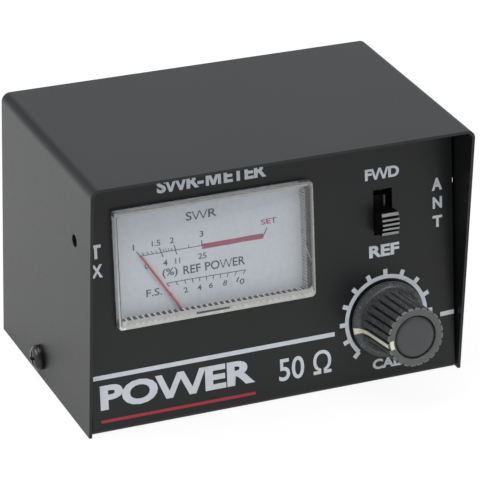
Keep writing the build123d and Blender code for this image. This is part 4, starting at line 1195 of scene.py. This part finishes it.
def make_needle():
    """The enamelled blade, with a small drop of enamel part-way along it."""
    place = PANEL @ Matrix.Translation((PIVOT_AT.x, PIVOT_AT.y, 0.0))
    place = place @ Matrix.Rotation(math.radians(NEEDLE_REST), 4, "Z")
    loops = []
    for i in range(NEEDLE_STEPS + 1):
        share = i / NEEDLE_STEPS
        y = NEEDLE_FROM + (NEEDLE_TO - NEEDLE_FROM) * share
        half = NEEDLE_ROOT + (NEEDLE_TIP - NEEDLE_ROOT) * share
        right = [(half - NEEDLE_EDGE, NEEDLE_BACK), (half, NEEDLE_BACK + NEEDLE_EDGE),
                 (half, NEEDLE_FRONT - NEEDLE_EDGE), (half - NEEDLE_BEVEL, NEEDLE_FRONT)]
        loop = [(x, y, z) for x, z in right]
        loops.append(loop + [(-x, y, z) for x, z in reversed(right)])
    drop = [(0.0, NEEDLE_BACK), (BLOB_R * 0.8, NEEDLE_BACK), (BLOB_R, NEEDLE_BACK + 0.1),
            (BLOB_R * 0.85, NEEDLE_FRONT), (BLOB_R * 0.5, NEEDLE_FRONT + 0.07),
            (0.0, NEEDLE_FRONT + 0.09)]
    verts, faces = lathe(drop, 24)
    verts = [(x, y + BLOB_AT, z) for x, y, z in verts]
    mesh = make_mesh("needle_enamel", *merged([loft(loops), (verts, faces)]), place)
    piece("needle_enamel", mesh, "movement", "pointer_red")


make_needle()

# ---- switch button

SWITCH_X = 31.33
BUTTON_S = 44.8
BUTTON_HALF = 2.45
BUTTON_LONG = 3.05
BUTTON_PROUD = 5.0
BUTTON_CROWN = 0.75
BUTTON_EDGE = 0.16
RIDGES = 5
GROOVE_SHARE = 0.5
GROOVE_DEPTH = 0.75
CARRIAGE_HALF = 3.9
CARRIAGE_LONG = 6.15
CARRIAGE_BACK = -4.2
CARRIAGE_FRONT = -1.4
CARRIAGE_POCKET = -2.4


def box_mesh(x0, x1, y0, y1, z0, z1, edge=0.06):
    """A box whose front edges are bevelled."""
    def ring(inset, z):
        return [(x0 + inset, y0 + inset, z), (x1 - inset, y0 + inset, z),
                (x1 - inset, y1 - inset, z), (x0 + inset, y1 - inset, z)]
    return loft([ring(0.0, z0), ring(0.0, z1 - edge), ring(edge, z1)])


def crown(y):
    return BUTTON_PROUD - BUTTON_CROWN * (y / BUTTON_LONG) ** 2


def button_section(y, drop, edge):
    top = crown(y) - drop
    corner = edge * 0.4
    side = [(BUTTON_HALF, CARRIAGE_FRONT - 0.5), (BUTTON_HALF, top - edge),
            (BUTTON_HALF - corner, top - corner), (BUTTON_HALF - edge, top)]
    return [(-x, y, z) for x, z in side] + [(x, y, z) for x, z in reversed(side)]


def button_mesh():
    """A block with bevelled ridges across a crowned face."""
    pitch = 2 * BUTTON_LONG / RIDGES
    groove = pitch * GROOVE_SHARE
    ends = BUTTON_LONG
    sections = [
        (-ends, 0.3, 0.1), (-ends + 0.08, 0.1, BUTTON_EDGE), (-ends + 0.25, 0.0, BUTTON_EDGE)]
    for i in range(1, RIDGES):
        middle = -ends + pitch * i
        wall = [(groove / 2 + 0.12, 0.0, BUTTON_EDGE), (groove / 2 + 0.02, 0.1, BUTTON_EDGE),
                (groove / 2, 0.22, 0.1), (groove / 2 - 0.1, GROOVE_DEPTH, 0.05)]
        sections += [(middle - y, drop, edge) for y, drop, edge in wall]
        sections += [(middle + y, drop, edge) for y, drop, edge in reversed(wall)]
    sections += [(ends - 0.25, 0.0, BUTTON_EDGE), (ends - 0.08, 0.1, BUTTON_EDGE), (ends, 0.3, 0.1)]
    return loft([button_section(*section) for section in sections])


def make_switch():
    place = PANEL @ Matrix.Translation((SWITCH_X, BUTTON_S, 0.0))
    pocket = BUTTON_LONG + 0.3
    half, long = CARRIAGE_HALF, CARRIAGE_LONG
    back, front, low = CARRIAGE_BACK, CARRIAGE_FRONT, CARRIAGE_POCKET
    parts = [
        button_mesh(),
        box_mesh(-half, half, -long, long, back, low),
        box_mesh(-half, half, -long, pocket, low - 0.1, front),
        box_mesh(-half, -half + 0.9, pocket - 0.1, long, low - 0.1, front),
        box_mesh(half - 0.9, half, pocket - 0.1, long, low - 0.1, front),
        box_mesh(0.95, 1.4, pocket - 0.1, long, low - 0.1, front),
    ]
    mesh = make_mesh("switch_button", *merged(parts), place)
    piece("switch_button", mesh, "function_slider", "switch_plastic",
          ["switch_actuator"])
    mesh.materials.append(MATERIALS["ridge_top"])
    mesh.materials.append(MATERIALS["knob_plastic"])
    to_local = place.inverted()
    turn = to_local.to_3x3()
    for face in mesh.polygons:
        middle = to_local @ face.center
        normal = (turn @ face.normal).normalized()
        # painted highlight: faces on the crowned ridge tops take the light grey
        if normal.z > 0.5 and middle.z > crown(middle.y) - 0.15:
            face.material_index = 1
        # painted highlight: the carriage rib inside the slot takes the lighter knob plastic, for a
        # thin light line
        elif 0.9 < middle.x < 1.5 and pocket < middle.y:
            face.material_index = 2


make_switch()

# ---- cover screws

SCREW_AT = (53.0, 3.45, 5.7)
HEAD_R = 3.4
HEAD_H = 2.4
HEAD_RIM = 0.75
SHANK_R = 1.72
SHANK_L = 8.0
CROSS_REACH = 1.95
CROSS_HALF = 0.46
CROSS_DEPTH = 1.5


def screw_profile():
    rings = 30
    profile = [(0.0, -SHANK_L), (1.3, -SHANK_L), (SHANK_R, -SHANK_L + 0.4), (SHANK_R, 0.0),
               (HEAD_R - 0.15, 0.0), (HEAD_R, 0.15)]
    for i in range(rings + 1):
        t = math.radians(90.0 * i / rings)
        profile.append((HEAD_R * math.cos(t) ** 0.8 if i < rings else 0.0,
                        HEAD_RIM + (HEAD_H - HEAD_RIM) * math.sin(t)))
    return profile


def crossed(r, z, angle):
    """Sinks the head's tapered cross recess."""
    if z < HEAD_RIM + 0.2:
        return r, z
    x, y = abs(r * math.cos(angle)), abs(r * math.sin(angle))
    far, near = max(x, y), min(x, y)
    if far > CROSS_REACH or near > CROSS_HALF * (1.0 - 0.35 * far / CROSS_REACH):
        return r, z
    return r, min(z, HEAD_H - CROSS_DEPTH * (1.0 - (far / CROSS_REACH) ** 2) - 0.25)


def make_cover_screws():
    profile = screw_profile()
    for name, side in (("cover_screw_left", -1), ("cover_screw_right", 1)):
        x, y, z = SCREW_AT
        place = Matrix.Translation(Vector((side * x, y, z)) * MM) @ Matrix.Rotation(
            math.radians(90.0 * side), 4, "Y") @ Matrix.Rotation(math.radians(24.0), 4, "Z")
        place = place @ Matrix.Scale(MM, 4)
        verts, faces = lathe(profile, 120, crossed)
        mesh = make_mesh(name, verts, faces, place, 40.0)
        piece(name, mesh, "case", "screw_black", ["cover_screws"])


make_cover_screws()

# ---- rear sockets

SOCKETS = (("tx", -26.0), ("ant", 26.0))
SOCKET_Z = 32.0
FLANGE_FACE_Y = 32.85
FLANGE_T = 1.6
FLANGE_SIDE = 12.7
FLANGE_CORNER = 1.5
FLANGE_HOLE = 9.13
FLANGE_HOLE_R = 1.6
BARREL_L = 15.0
THREAD_ROWS = 104
THREAD_PITCH = 1.058
THREAD_CREST = 7.9
THREAD_ROOT = 7.3
ROOT_DARK = 7.5
THREAD_FROM = 0.7
THREAD_TO = 14.3
BORE_R = 6.1
BOSS_R = 6.0
BOSS_BORE = 4.5
BOSS_END = -5.65
SEAT = -0.85
NOTCH_HALF = 1.2
NOTCH_DEPTH = 0.8


def barrel_profile():
    profile = [(BOSS_BORE, BOSS_END), (BOSS_R - 0.3, BOSS_END), (BOSS_R, BOSS_END + 0.3),
               (BOSS_R, -FLANGE_T + 0.3), (THREAD_ROOT, -FLANGE_T + 0.3),
               (THREAD_ROOT, THREAD_FROM)]
    for i in range(1, THREAD_ROWS):
        height = THREAD_FROM + (THREAD_TO - THREAD_FROM) * i / THREAD_ROWS
        profile.append((THREAD_CREST, height))
    profile += [(THREAD_ROOT + 0.1, THREAD_TO + 0.05), (THREAD_ROOT, BARREL_L - 0.25),
                (THREAD_ROOT - 0.25, BARREL_L), (BORE_R + 0.25, BARREL_L),
                (BORE_R, BARREL_L - 0.25),
                (BORE_R, BARREL_L - NOTCH_DEPTH - 0.2), (BORE_R, SEAT), (BOSS_BORE, SEAT)]
    return profile


def threaded(r, z, angle):
    """Cuts the helical thread and the four notches in the mouth."""
    if r == THREAD_CREST:
        phase = (z / THREAD_PITCH - angle / (2 * math.pi)) % 1.0
        height = min(1.0, max(0.0, (abs(2.0 * phase - 1.0) - 0.12) / 0.76))
        height *= ease(z, THREAD_FROM, THREAD_FROM + 0.5) * ease(-z, -THREAD_TO, -THREAD_TO + 0.5)
        r = THREAD_ROOT + (THREAD_CREST - THREAD_ROOT) * height
    off = (angle - math.pi / 4) % (math.pi / 2)
    off = min(off, math.pi / 2 - off)
    if z > BARREL_L - NOTCH_DEPTH and r * math.sin(off) < NOTCH_HALF:
        z = BARREL_L - NOTCH_DEPTH
    return r, z


def cut_flange(work, place):
    """A square plate with rounded corners, four holes and a softened rim."""
    side, corner = FLANGE_SIDE, FLANGE_CORNER
    rings = [[]]
    for cx, cy, start in ((1, 1, 0), (-1, 1, 90), (-1, -1, 180), (1, -1, 270)):
        rings[0] += arc(cx * (side - corner), cy * (side - corner), corner, start, start + 90, 6)
    for cx in (-FLANGE_HOLE, FLANGE_HOLE):
        for cy in (-FLANGE_HOLE, FLANGE_HOLE):
            rings.append(arc(cx, cy, FLANGE_HOLE_R, 0, 360, 24)[:-1])
    rings.append(arc(0, 0, THREAD_ROOT - 0.3, 0, 360, 48)[:-1])
    edges = []
    for ring in rings:
        verts = [work.verts.new(place @ Vector((x, y, -FLANGE_T))) for x, y in ring]
        edges += [work.edges.new((a, b)) for a, b in zip(verts, verts[1:] + verts[:1])]
    filled = bmesh.ops.triangle_fill(work, edges=edges, use_beauty=True)
    faces = [g for g in filled["geom"] if isinstance(g, bmesh.types.BMFace)]
    grown = bmesh.ops.extrude_face_region(work, geom=faces, use_keep_orig=True)
    lifted = [g for g in grown["geom"] if isinstance(g, bmesh.types.BMVert)]
    step = place.to_3x3() @ Vector((0.0, 0.0, FLANGE_T))
    bmesh.ops.translate(work, verts=lifted, vec=step)
    back = place.inverted()
    rim = []
    for edge in work.edges:
        ends = [back @ v.co for v in edge.verts]
        if all(e.z > -0.01 and max(abs(e.x), abs(e.y)) > side - corner * 0.35 for e in ends):
            rim.append(edge)
    bmesh.ops.bevel(work, geom=rim, offset=0.22 * MM, segments=3, profile=0.5, affect="EDGES")


def make_sockets():
    turn = Matrix(((-1.0, 0.0, 0.0), (0.0, 0.0, 1.0), (0.0, 1.0, 0.0))).to_4x4()
    for name, x in SOCKETS:
        at = Vector((x, FLANGE_FACE_Y, SOCKET_Z)) * MM
        place = Matrix.Translation(at) @ turn @ Matrix.Scale(MM, 4)
        profile = barrel_profile()
        verts, faces = lathe(profile + [profile[0]], 144, threaded)
        mesh = make_mesh(name + "_socket_shell", verts, faces, place)
        to_local = place.inverted()
        for face in mesh.polygons:
            middle = to_local @ face.center
            wide = math.hypot(middle.x, middle.y)
            # faces in the thread roots take the darker nickel_root surface
            if THREAD_FROM + 0.2 < middle.z < THREAD_TO - 0.2 and BORE_R + 0.5 < wide < ROOT_DARK:
                face.material_index = 1
        work = bmesh.new()
        cut_flange(work, place)
        bmesh.ops.recalc_face_normals(work, faces=work.faces)
        work.from_mesh(mesh)
        work.to_mesh(mesh)
        work.free()
        smooth(mesh, SHARP)
        piece(name + "_socket_shell", mesh, "case", "nickel_plate",
              [name + "_socket_body"])
        mesh.materials.append(MATERIALS["nickel_root"])


make_sockets()
